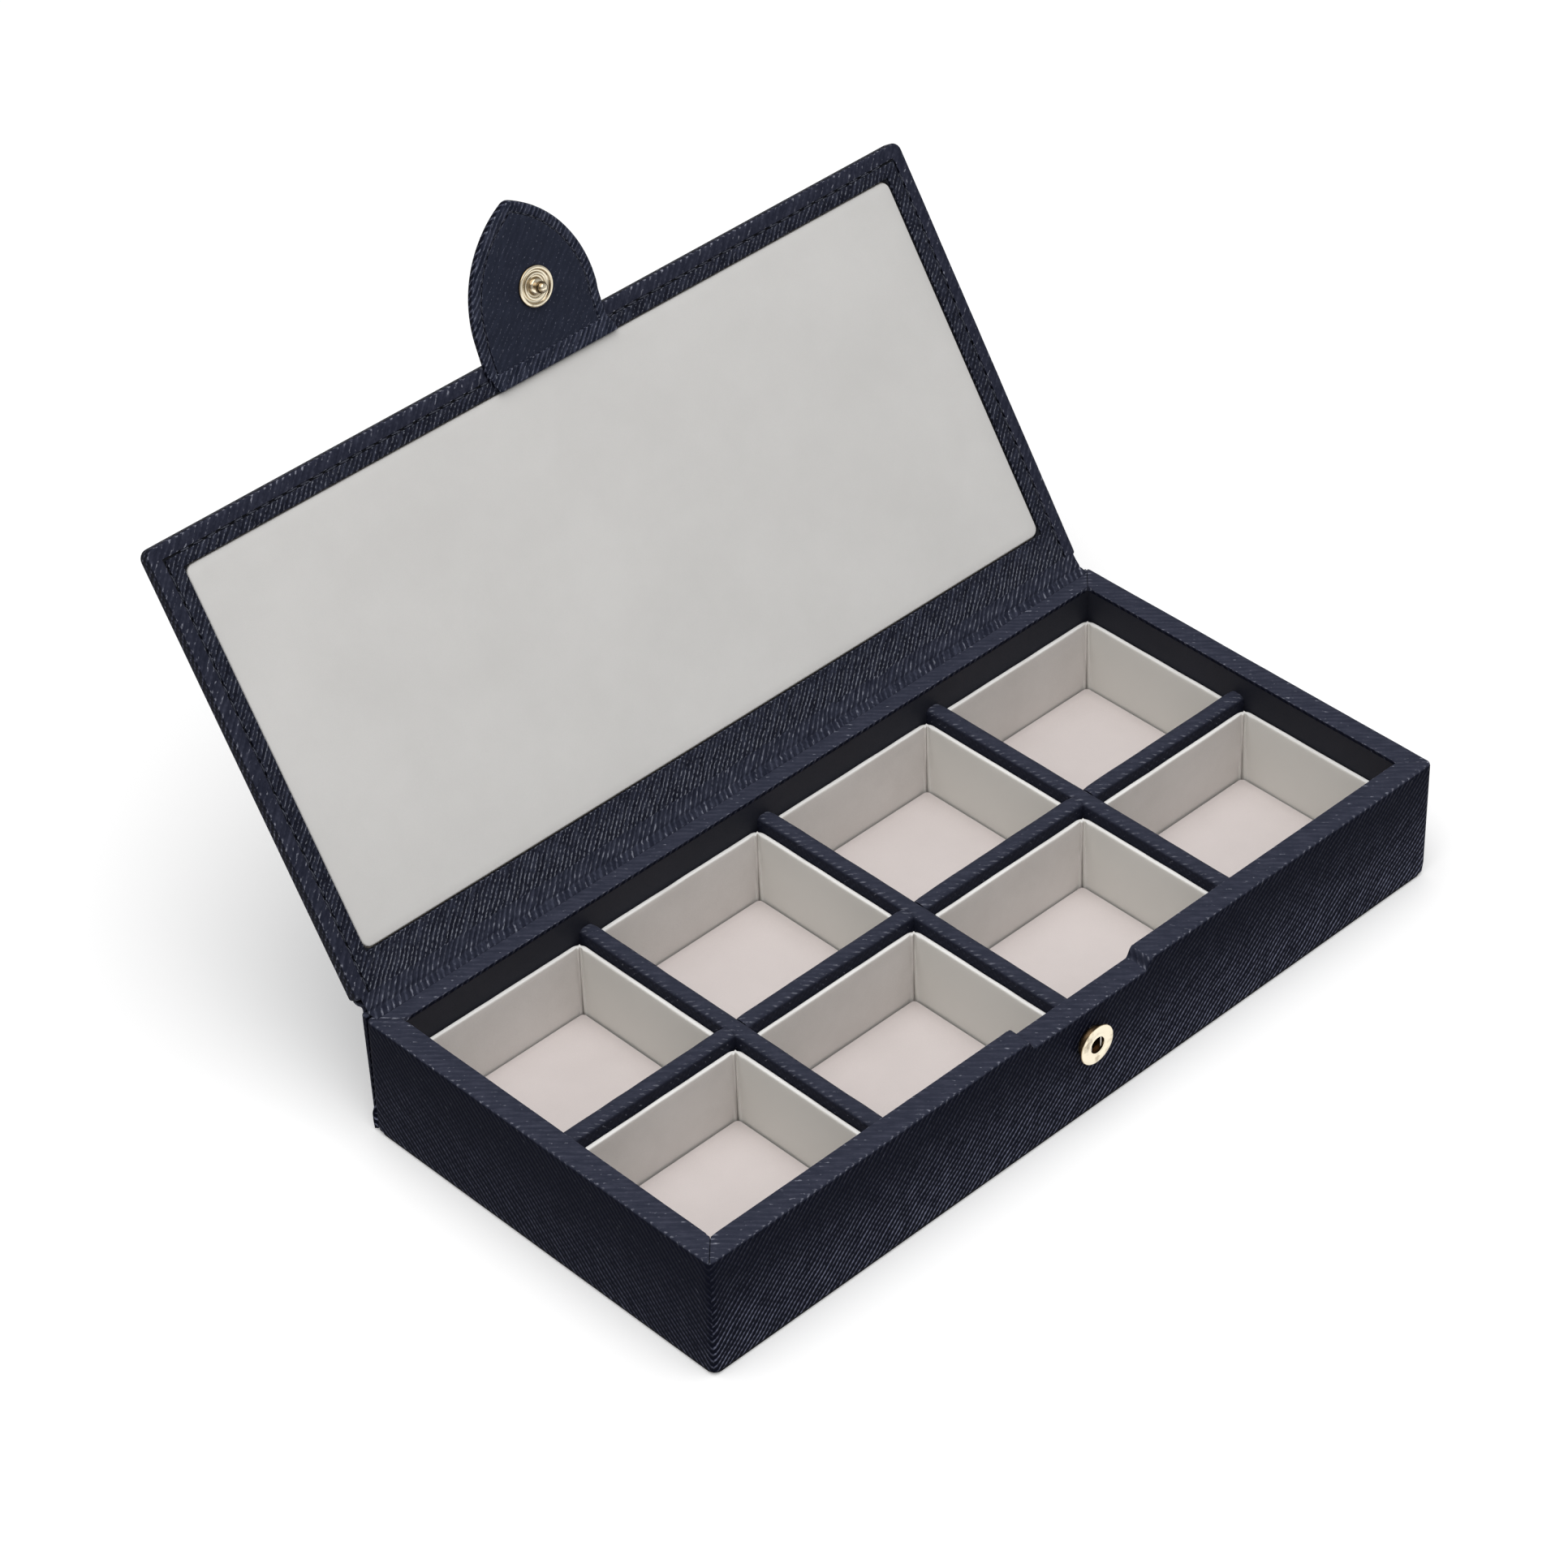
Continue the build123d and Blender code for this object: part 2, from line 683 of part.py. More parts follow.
def make_tab_root():
    """Root of the tab, on the lid's inner leather between the panel and the crease."""
    length = panel_front_margin - tab_crease_inset - panel_clearance
    points = lid_side_points([(0, 0), (0, tab_root_rise), (length, tab_root_foot), (length, 0)])
    return side_prism(points, tab_half_width - 0.5)


def make_tab_fold_leather():
    """Part of the tab that bends, from the crease to the start of the flap."""
    outer_y = fold_y - tab_thickness * sin(tab_tilt)
    outer_z = fold_z + tab_thickness * cos(tab_tilt)
    lift = (tab_thickness / cos(tab_tilt) - tab_root_rise) / tan(tab_tilt)
    points = [
        (crease_y, lid_plane),
        (crease_y, crease_z),
        (fold_y, fold_z),
        (outer_y, outer_z),
        (crease_y - lift, lid_plane),
    ]
    return side_prism(points, tab_half_width)


def tab_outline(inset, start):
    """Plan of the flap from a distance beyond the crease to its blunt pointed tip."""
    half = tab_half_width - inset
    meeting = degrees(atan2(tab_tip_centre - tab_straight, -tab_side_centre))
    side_arc = CenterArc((tab_side_centre, tab_straight), tab_side_radius - inset, 0, meeting)
    tip_arc = CenterArc((0, tab_tip_centre), tab_tip_radius - inset, meeting, 180 - 2 * meeting)
    right = Line((half, start), (half, tab_straight))
    left = [edge.mirror(Plane.YZ) for edge in (right, side_arc)]
    base = Line((-half, start), (half, start))
    return make_face([base, right, side_arc, tip_arc, *left])


def tab_layer_solid(sketch, low, high):
    """Layer of the flap between two heights above its inner face."""
    return tab_plane * Pos(0, 0, low) * extrude(sketch, high - low)


def make_tab_outer_leather():
    """Outer leather of the flap, turned in around its edge as far as the seam."""
    outer = Pos(0, 0, -tab_thickness) * extrude(tab_outline(0, fold_distance), tab_thickness)
    rounded = [edge for edge in outer.edges() if edge.bounding_box().size.Z < 0.01]
    rounded = [edge for edge in rounded if edge.center().Y > fold_distance + 0.01]
    outer = fillet(rounded, tab_edge_radius)
    pocket = Pos(0, 0, -tab_layer) * extrude(tab_outline(tab_seam_inset, fold_distance - 1), tab_layer)
    disc = Pos(0, stud_distance, -tab_layer - rivet_disc_thickness / 2)
    disc = disc * Cylinder(rivet_disc_radius + bore_clearance, rivet_disc_thickness)
    return tab_plane * (outer - pocket - disc)


def make_tab_inner_leather():
    """Inner leather of the flap, inside the seam, with the rivet's hole."""
    sheet = extrude(tab_outline(tab_seam_inset + seam_gap, fold_distance), tab_layer)
    hole = Pos(0, stud_distance, tab_layer / 2) * Cylinder(rivet_shank_radius + bore_clearance, 2 * tab_layer)
    return tab_plane * Pos(0, 0, -tab_layer) * (sheet - hole)


def make_tab_seam_thread():
    """Stitches along the flap's seam."""
    inset = tab_seam_inset + seam_gap / 2
    outline = tab_outline(inset, fold_distance)
    seam = outline.wires()[0].edges().filter_by(lambda edge: edge.center().Y > fold_distance + 0.01)
    stitches = []
    for edge in seam:
        count = int(edge.length // stitch_pitch)
        for index in range(count):
            share = (index + 0.5) / count
            place = edge.position_at(share)
            direction = edge.tangent_at(share)
            turn = Vector(1, 0, 0).get_signed_angle(direction, Vector(0, 0, 1))
            box = Box(stitch_length, stitch_thickness, stitch_thickness)
            height = -tab_layer + stitch_thickness / 2
            stitches.append(tab_plane * Pos(place.X, place.Y, height) * Rot(0, 0, turn) * box)
    return Compound(children=stitches)


def make_snap_stud():
    """Stud on the flap's inner face: dished flange, raised boss, neck and ball."""
    dish = stud_flange_thickness - stud_dish_depth
    neck_top = stud_ball_height - sqrt(stud_ball_radius ** 2 - stud_neck_radius ** 2)
    corners = [
        (0, 0),
        (stud_flange_radius, 0),
        (stud_flange_radius, stud_flange_thickness),
        (stud_dish_radius, stud_flange_thickness),
        (stud_dish_radius, dish),
        (stud_boss_radius, dish),
        (stud_neck_radius, stud_boss_height),
        (stud_neck_radius, neck_top),
    ]
    outline = [Line(a, b) for a, b in zip(corners, corners[1:])]
    top = stud_ball_height + stud_ball_radius
    ball = ThreePointArc((stud_neck_radius, neck_top), (stud_ball_radius, stud_ball_height), (0, top))
    face = flat_face(Plane.XZ, [*outline, ball, Line((0, top), (0, 0))])
    return tab_plane * Pos(0, stud_distance, 0) * revolve(face, Axis.Z)


def make_stud_rivet():
    """Disc and shank that hold the stud, hidden between the flap's leathers."""
    points = [
        (0, 0),
        (rivet_shank_radius, 0),
        (rivet_shank_radius, -tab_layer),
        (rivet_disc_radius, -tab_layer),
        (rivet_disc_radius, -tab_layer - rivet_disc_thickness),
        (0, -tab_layer - rivet_disc_thickness),
    ]
    return turned_part(points, tab_plane * Pos(0, stud_distance, 0))


def build_parts():
    """Every piece of the box by name, at the rest position."""
    long_core, long_cover = make_long_divider()
    parts = {
        "base_cover": make_base_cover(),
        "base_board": make_base_board(),
        "front_wall_board": make_front_wall_board(),
        "rear_wall_board": make_rear_wall_board(),
        "left_wall_board": make_end_wall_board(-1),
        "right_wall_board": make_end_wall_board(1),
        "tray_leather": make_tray_leather(),
        "tray_lining": make_tray_lining(),
        "long_divider_core": long_core,
        "long_divider_leather": long_cover,
        "socket_cap": make_socket_cap(),
        "socket_body": make_socket_body(),
        "socket_spring": make_socket_spring(),
        "socket_eyelet": make_socket_eyelet(),
        "spine_board": make_spine_board(),
        "spine_leather": make_spine_leather(),
        "outer_hinge_leather": make_outer_hinge_leather(),
        "inner_hinge_leather": make_inner_hinge_leather(),
    }
    for number, x in enumerate(cross_divider_xs, start=1):
        core, cover = make_cross_divider(x)
        parts[f"cross_divider_core_{number}"] = core
        parts[f"cross_divider_leather_{number}"] = cover
    for row, row_name in enumerate(("front", "rear")):
        for column in range(columns):
            parts[f"liner_{row_name}_{column + 1}"] = make_liner(column, row)
            parts[f"floor_pad_{row_name}_{column + 1}"] = make_floor_pad(column, row)
    lid_parts = {
        "lid_board": make_lid_board(),
        "lid_frame_card": make_lid_frame_card(),
        "lid_leather": make_lid_leather(),
        "lid_border_leather": make_lid_border_leather(),
        "lid_panel_card": make_lid_panel_card(),
        "lid_panel_suede": make_lid_panel_suede(),
        "lid_seam_thread": make_lid_seam_thread(),
        "tab_root": make_tab_root(),
        "tab_fold_leather": make_tab_fold_leather(),
        "tab_outer_leather": make_tab_outer_leather(),
        "tab_inner_leather": make_tab_inner_leather(),
        "tab_seam_thread": make_tab_seam_thread(),
        "snap_stud": make_snap_stud(),
        "stud_rivet": make_stud_rivet(),
    }
    for name, shape in lid_parts.items():
        parts[name] = swung_open(shape)
    return parts


os.makedirs("parts", exist_ok=True)
for part_name, part_shape in build_parts().items():
    export_step(part_shape, f"parts/{part_name}.step")

print("hinge axis y, z:", round(hinge_y, 3), round(hinge_z, 3))
print("tab fold y, z:", [round(value, 3) for value in swung_point(fold_y, fold_z)])
print("socket height above the table:", round(socket_z, 3))
print("tab tip above the table when shut:", round(fold_z - (tab_length - fold_distance), 3))
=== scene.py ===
"""Looks of a leather cufflink box: grained navy leather, grey suede compartments and a press-stud tab.

Pieces are modelled in millimetres, each in the frame that suits it, and are brought to metres and to
their place at rest when they are finished.
"""

import json
import logging
import math
from dataclasses import dataclass, field
from enum import Enum
from typing import Callable, Sequence

import bmesh
import bpy
from mathutils import Matrix, Vector, noise


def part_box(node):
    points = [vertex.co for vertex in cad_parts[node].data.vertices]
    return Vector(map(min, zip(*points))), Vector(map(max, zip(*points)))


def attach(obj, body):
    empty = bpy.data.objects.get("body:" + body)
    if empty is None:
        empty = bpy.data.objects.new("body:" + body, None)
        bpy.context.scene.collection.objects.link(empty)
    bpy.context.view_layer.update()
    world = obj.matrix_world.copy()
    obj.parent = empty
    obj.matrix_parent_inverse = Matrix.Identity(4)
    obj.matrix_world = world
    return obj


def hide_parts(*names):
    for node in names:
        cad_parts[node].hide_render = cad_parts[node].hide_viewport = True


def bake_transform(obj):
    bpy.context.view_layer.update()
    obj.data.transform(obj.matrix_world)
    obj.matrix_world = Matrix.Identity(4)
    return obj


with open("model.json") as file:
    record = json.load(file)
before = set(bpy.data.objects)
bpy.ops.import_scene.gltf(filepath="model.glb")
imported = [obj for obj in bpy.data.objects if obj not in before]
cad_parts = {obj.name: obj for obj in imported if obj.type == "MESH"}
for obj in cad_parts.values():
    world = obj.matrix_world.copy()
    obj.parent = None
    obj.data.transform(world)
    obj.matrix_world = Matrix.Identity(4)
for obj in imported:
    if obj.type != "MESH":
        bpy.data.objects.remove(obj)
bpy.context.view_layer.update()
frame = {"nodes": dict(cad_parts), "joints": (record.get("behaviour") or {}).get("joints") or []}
LOG = logging.getLogger("cufflink_box")
MM = 0.001
QUARTER_TURN = math.pi / 2
LONG_EDGE = 10.0
Piece = bpy.types.Object
Link = bpy.types.NodeSocket
Material = bpy.types.Material
Point = tuple[float, float, float]
Pair = tuple[float, float]
Value = Link | float | tuple
Lay = Callable[[Vector, Vector], Pair]
Move = Callable[[Vector], Vector]


class Part(Enum):
    """What a selection picks."""

    FACE = "FACE"
    EDGE = "EDGE"


class Axis(Enum):
    """Directions of a frame."""

    X = 0
    Y = 1
    Z = 2


class Body(Enum):
    """Bodies that the pieces ride on."""

    TRAY = "tray"
    LID = "lid"
    TAB = "tab"


class Slot(Enum):
    """Material slots of the finished pieces."""

    LEATHER = "navy_leather"
    SUEDE = "compartment_suede"
    PANEL = "panel_suede"
    THREAD = "thread"
    GOLD = "gold_metal"
    BRONZE = "bronze_metal"


class Sum(Enum):
    """Operations of a Math node."""

    ADD = "ADD"
    SUBTRACT = "SUBTRACT"
    MULTIPLY = "MULTIPLY"
    MAXIMUM = "MAXIMUM"
    ABSOLUTE = "ABSOLUTE"
    SINE = "SINE"


def smooth_step(value: float, low: float, high: float) -> float:
    """Rise smoothly from 0 at low to 1 at high.

    Args:
        value: Where to read the step.
        low: Value at which it starts.
        high: Value at which it ends.

    Returns:
        A share from 0 to 1.
    """
    share = min(max((value - low) / (high - low), 0.0), 1.0)
    return share * share * (3 - 2 * share)


def ripple(x: float, y: float, z: float, wave: float) -> float:
    """Smooth irregular swell from about -1 to 1 at a place; wave is the usual distance of two swells."""
    return noise.noise(Vector((x / wave, y / wave, z / wave)))


def mound(value: float, width: float) -> float:
    """Bell curve that is 1 at 0 and falls off over a width."""
    return math.exp(-((value / width) ** 2))


def node_box(name: str) -> tuple[Vector, Vector]:
    """Lowest and highest corner of a CAD node, in millimetres."""
    low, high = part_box(name)
    return low / MM, high / MM


def dress(node: str, material: Material) -> None:
    """Give a CAD node that stays its finish.

    Args:
        node: Name of the node.
        material: Its finish.
    """
    materials = frame["nodes"][node].data.materials
    materials.clear()
    materials.append(material)


def stand_for(piece: Piece, slot: Slot, body: Body | None, *nodes: str) -> None:
    """Let a finished piece ride on a body in place of CAD nodes.

    Args:
        piece: The finished piece.
        slot: Its material slot, which is not used.
        body: What it rides on, or None for a piece that lies between two bodies and rides on neither.
        nodes: Names of the nodes that it stands for.
    """
    if body:
        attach(piece, body.value)
    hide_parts(*nodes)


@dataclass(frozen=True)
class Plan:
    """Main places of the box in millimetres, read from the frame."""

    half_length: float
    half_depth: float
    height: float
    inner_half_depth: float
    hinge_y: float
    hinge_z: float
    opening: float

    @classmethod
    def read(cls) -> "Plan":
        """Read the places from the CAD nodes and the lid's joint.

        Returns:
            The plan.
        """
        tray = node_box("tray_leather")[1]
        hinge = next(joint for joint in frame["joints"] if joint["name"] == "lid_hinge")
        return cls(
            half_length=tray.x,
            half_depth=tray.y,
            height=tray.z,
            inner_half_depth=node_box("cross_divider_leather_1")[1].y,
            hinge_y=hinge["pos_m"][1] / MM,
            hinge_z=hinge["pos_m"][2] / MM,
            opening=math.radians(hinge["range_deg"][1]),
        )

    @property
    def rim(self) -> float:
        """Width of the tray's rim."""
        return self.half_depth - self.inner_half_depth

    def opened(self) -> Matrix:
        """Matrix that swings a shut lid's point to its open rest place, in millimetres."""
        pivot = Vector((0, self.hinge_y, self.hinge_z))
        return Matrix.Translation(pivot) @ Matrix.Rotation(-self.opening, 4, "X") @ Matrix.Translation(-pivot)


PLAN = Plan.read()


class Bench:
    """Blender's modelling operators, used as by hand, on meshes in millimetres."""

    @staticmethod
    def clear() -> None:
        """Leave edit mode and deselect everything."""
        if bpy.context.mode != "OBJECT":
            bpy.ops.object.mode_set(mode="OBJECT")
        bpy.ops.object.select_all(action="DESELECT")

    @staticmethod
    def activate(piece: Piece) -> None:
        """Make one piece the only selected and active one.

        Args:
            piece: The piece to work on.
        """
        Bench.clear()
        piece.select_set(True)
        bpy.context.view_layer.objects.active = piece

    @staticmethod
    def edit(piece: Piece) -> None:
        """Open a piece in edit mode."""
        Bench.activate(piece)
        bpy.ops.object.mode_set(mode="EDIT")

    @staticmethod
    def take(name: str) -> Piece:
        """Name the primitive that was just added, apply its place and open it in edit mode.

        Args:
            name: Its new name.

        Returns:
            The piece.
        """
        piece = bpy.context.object
        piece.name = name
        bpy.ops.object.transform_apply(location=True, rotation=True, scale=True)
        Bench.edit(piece)
        return piece

    @staticmethod
    def block(name: str, low: Sequence[float], high: Sequence[float]) -> Piece:
        """Add a box between two corners and open it in edit mode.

        Args:
            name: Name of the new piece.
            low: Lowest corner.
            high: Highest corner.

        Returns:
            The new piece.
        """
        Bench.clear()
        middle = [(a + b) / 2 for a, b in zip(low, high)]
        bpy.ops.mesh.primitive_cube_add(size=1, location=middle)
        bpy.context.object.scale = [b - a for a, b in zip(low, high)]
        return Bench.take(name)

    @staticmethod
    def pick(piece: Piece, part: Part, test: Callable) -> int:
        """Select the faces or edges that pass a test.

        Args:
            piece: The piece in edit mode.
            part: What is picked.
            test: Says of each bmesh element whether it is picked.

        Returns:
            How many were picked.
        """
        bpy.ops.mesh.select_mode(type=part.value)
        bpy.ops.mesh.select_all(action="DESELECT")
        mesh = bmesh.from_edit_mesh(piece.data)
        chosen = [item for item in (mesh.faces if part == Part.FACE else mesh.edges) if test(item)]
        for item in chosen:
            item.select_set(True)
        mesh.select_flush_mode()
        bmesh.update_edit_mesh(piece.data)
        return len(chosen)

    @staticmethod
    def delete_faces(piece: Piece, test: Callable) -> None:
        """Delete the faces that pass a test."""
        if Bench.pick(piece, Part.FACE, test):
            bpy.ops.mesh.delete(type="FACE")

    @staticmethod
    def sink(height: float) -> None:
        """Push the picked faces down and open the surface there, with a wall left round the hole."""
        bpy.ops.mesh.extrude_region_move(TRANSFORM_OT_translate={"value": (0, 0, -height)})
        bpy.ops.mesh.delete(type="FACE")

    @staticmethod
    def round_edges(piece: Piece, test: Callable, width: float, segments: int = 4) -> None:
        """Bevel the edges that pass a test.

        Args:
            piece: The piece in edit mode.
            test: Says of each edge whether it is rounded.
            width: Bevel width.
            segments: Number of strips.
        """
        if Bench.pick(piece, Part.EDGE, test):
            bpy.ops.mesh.bevel(offset=width, segments=segments, affect="EDGES", clamp_overlap=True)

    @staticmethod
    def split_along(piece: Piece, axis: Axis, shortest: float, cuts: int) -> None:
        """Divide the long edges along an axis.

        Args:
            piece: The piece in edit mode.
            axis: Direction of the edges.
            shortest: Edges shorter than this are left.
            cuts: Number of cuts in each edge.
        """
        def is_long(edge: bmesh.types.BMEdge) -> bool:
            """Tell whether an edge is long and nearly along the axis.

            Args:
                edge: One edge of the piece.

            Returns:
                True where it is divided.
            """
            span = edge.verts[1].co - edge.verts[0].co
            other = max(abs(span[index]) for index in range(3) if index != axis.value)
            return abs(span[axis.value]) > shortest and other < abs(span[axis.value]) * 0.2

        if Bench.pick(piece, Part.EDGE, is_long):
            bpy.ops.mesh.subdivide(number_cuts=cuts)

    @staticmethod
    def divide(piece: Piece, **cuts: int) -> None:
        """Divide the edges of a broad piece, so that it can take a soft shape.

        Args:
            piece: The piece in edit mode.
            cuts: Number of cuts in each long edge along x, y or z.
        """
        for name, number in cuts.items():
            Bench.split_along(piece, Axis[name.upper()], LONG_EDGE, number)

    @staticmethod
    def cut(piece: Piece, test: Callable, axis: Axis, places: Sequence[float]) -> None:
        """Bisect the faces that pass a test at several places along an axis.

        Args:
            piece: The piece in edit mode.
            test: Says of each face whether it is cut.
            axis: Direction across the cuts.
            places: Where the cuts lie along it.
        """
        normal = [float(index == axis.value) for index in range(3)]
        for place in places:
            if Bench.pick(piece, Part.FACE, test):
                bpy.ops.mesh.bisect(plane_co=[place * part for part in normal], plane_no=normal)

    @staticmethod
    def shape(piece: Piece, move: Move) -> None:
        """Move every vertex to the place that a function gives it.

        Args:
            piece: The piece.
            move: Gives the new place of a point.
        """
        Bench.clear()
        for vertex in piece.data.vertices:
            vertex.co = move(vertex.co.copy())
        piece.data.update()

    @staticmethod
    def thicken(piece: Piece, thickness: float) -> None:
        """Give an open sheet its thickness, inwards from its outer face.

        Args:
            piece: The sheet.
            thickness: Its thickness; a negative one goes outwards.
        """
        Bench.activate(piece)
        solid = piece.modifiers.new("thickness", "SOLIDIFY")
        solid.thickness = thickness
        solid.offset = -1
        bpy.ops.object.modifier_apply(modifier=solid.name)

    @staticmethod
    def face_out(piece: Piece) -> None:
        """Merge doubles and turn all normals outwards.

        Args:
            piece: A closed piece.
        """
        Bench.edit(piece)
        bpy.ops.mesh.select_all(action="SELECT")
        bpy.ops.mesh.remove_doubles(threshold=0.001)
        bpy.ops.mesh.normals_make_consistent(inside=False)
        Bench.clear()

    @staticmethod
    def join(pieces: Sequence[Piece], name: str) -> Piece:
        """Join several pieces into one.

        Args:
            pieces: The pieces, of which the first takes in the others.
            name: Name of the joined piece.

        Returns:
            The joined piece.
        """
        Bench.clear()
        for piece in pieces:
            piece.select_set(True)
        bpy.context.view_layer.objects.active = pieces[0]
        bpy.ops.object.join()
        pieces[0].name = name
        return pieces[0]

    @staticmethod
    def copies(piece: Piece, places: Sequence[Matrix], name: str) -> Piece:
        """Copy a small piece to many places and join the copies.

        Args:
            piece: The pattern, which is used up.
            places: One matrix for each copy.
            name: Name of the joined piece.

        Returns:
            The joined piece.
        """
        Bench.clear()
        made = []
        for place in places:
            copy = piece.copy()
            copy.data = piece.data.copy()
            copy.data.transform(place)
            bpy.context.collection.objects.link(copy)
            made.append(copy)
        bpy.data.objects.remove(piece)
        return Bench.join(made, name)

    @staticmethod
    def grain_map(piece: Piece, lay: Lay) -> None:
        """Lay the grain on the piece in millimetres, and keep where each point of it faces.

        Args:
            piece: The modelled piece.
            lay: Gives the grain's place for a point and the normal of its face.
        """
        layer = piece.data.uv_layers.new(name="grain")
        facing = piece.data.attributes.new("facing", "FLOAT_VECTOR", "POINT")
        vertices = piece.data.vertices
        for face in piece.data.polygons:
            for loop in face.loop_indices:
                point = vertices[piece.data.loops[loop].vertex_index].co
                layer.data[loop].uv = lay(point, face.normal)
        for vertex in vertices:
            facing.data[vertex.index].vector = vertex.normal

    @staticmethod
    def finish(
        piece: Piece,
        material: Material,
        place: Matrix = Matrix.Identity(4),
        angle: float = 35.0,
        lay: Lay | None = None,
    ) -> None:
        """Smooth, unwrap and colour a piece, and bring it to metres at its place.

        Args:
            piece: The modelled piece.
            material: Its finish.
            place: Matrix from the frame it was modelled in to the box's frame, in millimetres.
            angle: Edges sharper than this, in degrees, stay sharp.
            lay: Gives the grain's place, from the side that a face looks to where it is left out.
        """
        Bench.clear()
        Bench.grain_map(piece, lay or lay_by_side)
        Bench.activate(piece)
        bpy.ops.object.shade_smooth_by_angle(angle=math.radians(angle))
        piece.data.transform(Matrix.Scale(MM, 4) @ place)
        piece.data.materials.clear()
        piece.data.materials.append(material)
        LOG.info("%s: %d faces", piece.name, len(piece.data.polygons))


def lay_by_side(point: Vector, normal: Vector, up: float = -1.0) -> Pair:
    """Place of the grain on a wall or a top, by the side that it looks to.

    Args:
        point: A point of the face.
        normal: The face's normal.
        up: Sign of y on a top.

    Returns:
        The grain's place in millimetres.
    """
    size = [abs(part) for part in normal]
    x, y, z = point
    return ((y, z), (x, z), (x, up * y))[size.index(max(size))]


def lay_on_lid(point: Vector, normal: Vector) -> Pair:
    """Place of the grain on the lid, whose own frame has y up the lid."""
    return lay_by_side(point, normal, 1.0)


class Desk:
    """Builds one node material, a node at a time."""

    def __init__(self, name: str) -> None:
        """Start an empty material with its output.

        Args:
            name: Name of the material.
        """
        self.material = bpy.data.materials.new(name)
        self.material.use_nodes = True
        self.tree = self.material.node_tree
        self.tree.nodes.clear()
        self.output = self.tree.nodes.new("ShaderNodeOutputMaterial")

    def node(self, kind: str, inputs: dict[int | str, Value] | None = None, **values: str) -> bpy.types.Node:
        """Add a node.

        Args:
            kind: Blender's name of the node's type.
            inputs: What its inputs get, by name or number.
            values: Its other properties.

        Returns:
            The node.
        """
        node = self.tree.nodes.new("ShaderNode" + kind)
        for name, value in values.items():
            setattr(node, name, value)
        for name, value in (inputs or {}).items():
            self.feed(node.inputs[name], value)
        return node

    def feed(self, socket: Link, value: Value) -> None:
        """Give a socket a link or a plain value.

        Args:
            socket: The input.
            value: Another node's output, a number, a vector or a colour.
        """
        if isinstance(value, Link):
            self.tree.links.new(value, socket)
        elif isinstance(value, tuple) and socket.type == "RGBA":
            socket.default_value = (*value, 1.0)
        else:
            socket.default_value = value

    def math(self, operation: Sum, first: Value, second: Value = 0.0) -> Link:
        """Add a Math node."""
        return self.node("Math", {0: first, 1: second}, operation=operation.value).outputs[0]

    def plus(self, first: Value, second: Value) -> Link:
        """Add two values."""
        return self.math(Sum.ADD, first, second)

    def minus(self, first: Value, second: Value) -> Link:
        """Take the second value from the first."""
        return self.math(Sum.SUBTRACT, first, second)

    def times(self, first: Value, second: Value) -> Link:
        """Multiply two values."""
        return self.math(Sum.MULTIPLY, first, second)

    def fade(self, value: Value, share: float) -> Link:
        """Scale a value of 0 to 1 so that it runs from 1 - share to 1."""
        return self.plus(self.times(value, share), 1.0 - share)

    def ramp(self, value: Value, low: float, high: float) -> Link:
        """Map a value smoothly from low..high to 0..1."""
        inputs = {"Value": value, "From Min": low, "From Max": high}
        return self.node("MapRange", inputs, interpolation_type="SMOOTHSTEP").outputs["Result"]

    def mix(self, share: Value, first: Value, second: Value) -> Link:
        """Mix two colours.

        Args:
            share: How much of the second there is.
            first: Colour at 0.
            second: Colour at 1.

        Returns:
            The mixed colour.
        """
        node = self.node("Mix", {"Factor": share, "A": first, "B": second}, data_type="RGBA")
        return next(out for out in node.outputs if out.type == "RGBA")

    def noise(self, place: Link, scale: float, detail: float = 2.0, roughness: float = 0.5) -> Link:
        """Add a Noise Texture and return its height."""
        inputs = {"Vector": place, "Scale": scale, "Detail": detail, "Roughness": roughness}
        return self.node("TexNoise", inputs).outputs["Fac"]

    def object_mm(self) -> Link:
        """Object coordinates in millimetres."""
        place = self.node("TexCoord").outputs["Object"]
        return self.node("Mapping", {"Vector": place, "Scale": (1 / MM, 1 / MM, 1 / MM)}).outputs["Vector"]

    def parts(self, vector: Link) -> Sequence[Link]:
        """Split a vector into its three numbers."""
        return self.node("SeparateXYZ", {0: vector}).outputs

    def grain_axes(self, turn: float) -> tuple[Link, Link]:
        """Place along and across the grain, in millimetres, from the piece's own map.

        Args:
            turn: Turn of the grain in radians.

        Returns:
            The two outputs.
        """
        grain = self.node("UVMap", uv_map="grain").outputs["UV"]
        turned = self.node("Mapping", {"Vector": grain, "Rotation": (0.0, 0.0, turn)}, vector_type="TEXTURE")
        along, across, _ = self.parts(turned.outputs["Vector"])
        return along, across

    def facing(self, axis: Axis) -> Link:
        """Part of the piece's own outward direction along an axis."""
        return self.parts(self.node("Attribute", attribute_name="facing").outputs["Vector"])[axis.value]

    def facing_end(self) -> Link:
        """Share to which a point looks to the left or right end of the box."""
        return self.ramp(self.math(Sum.ABSOLUTE, self.facing(Axis.X)), 0.4, 0.9)

    def vector(self, x: Value, y: Value) -> Link:
        """Combine two numbers into a flat vector."""
        return self.node("CombineXYZ", {0: x, 1: y}).outputs[0]

    def bump(self, height: Value, depth: float, strength: float = 1.0) -> Link:
        """Turn a height into a bumped normal; depth is in millimetres."""
        inputs = {"Height": height, "Distance": depth * MM, "Strength": strength}
        return self.node("Bump", inputs).outputs["Normal"]

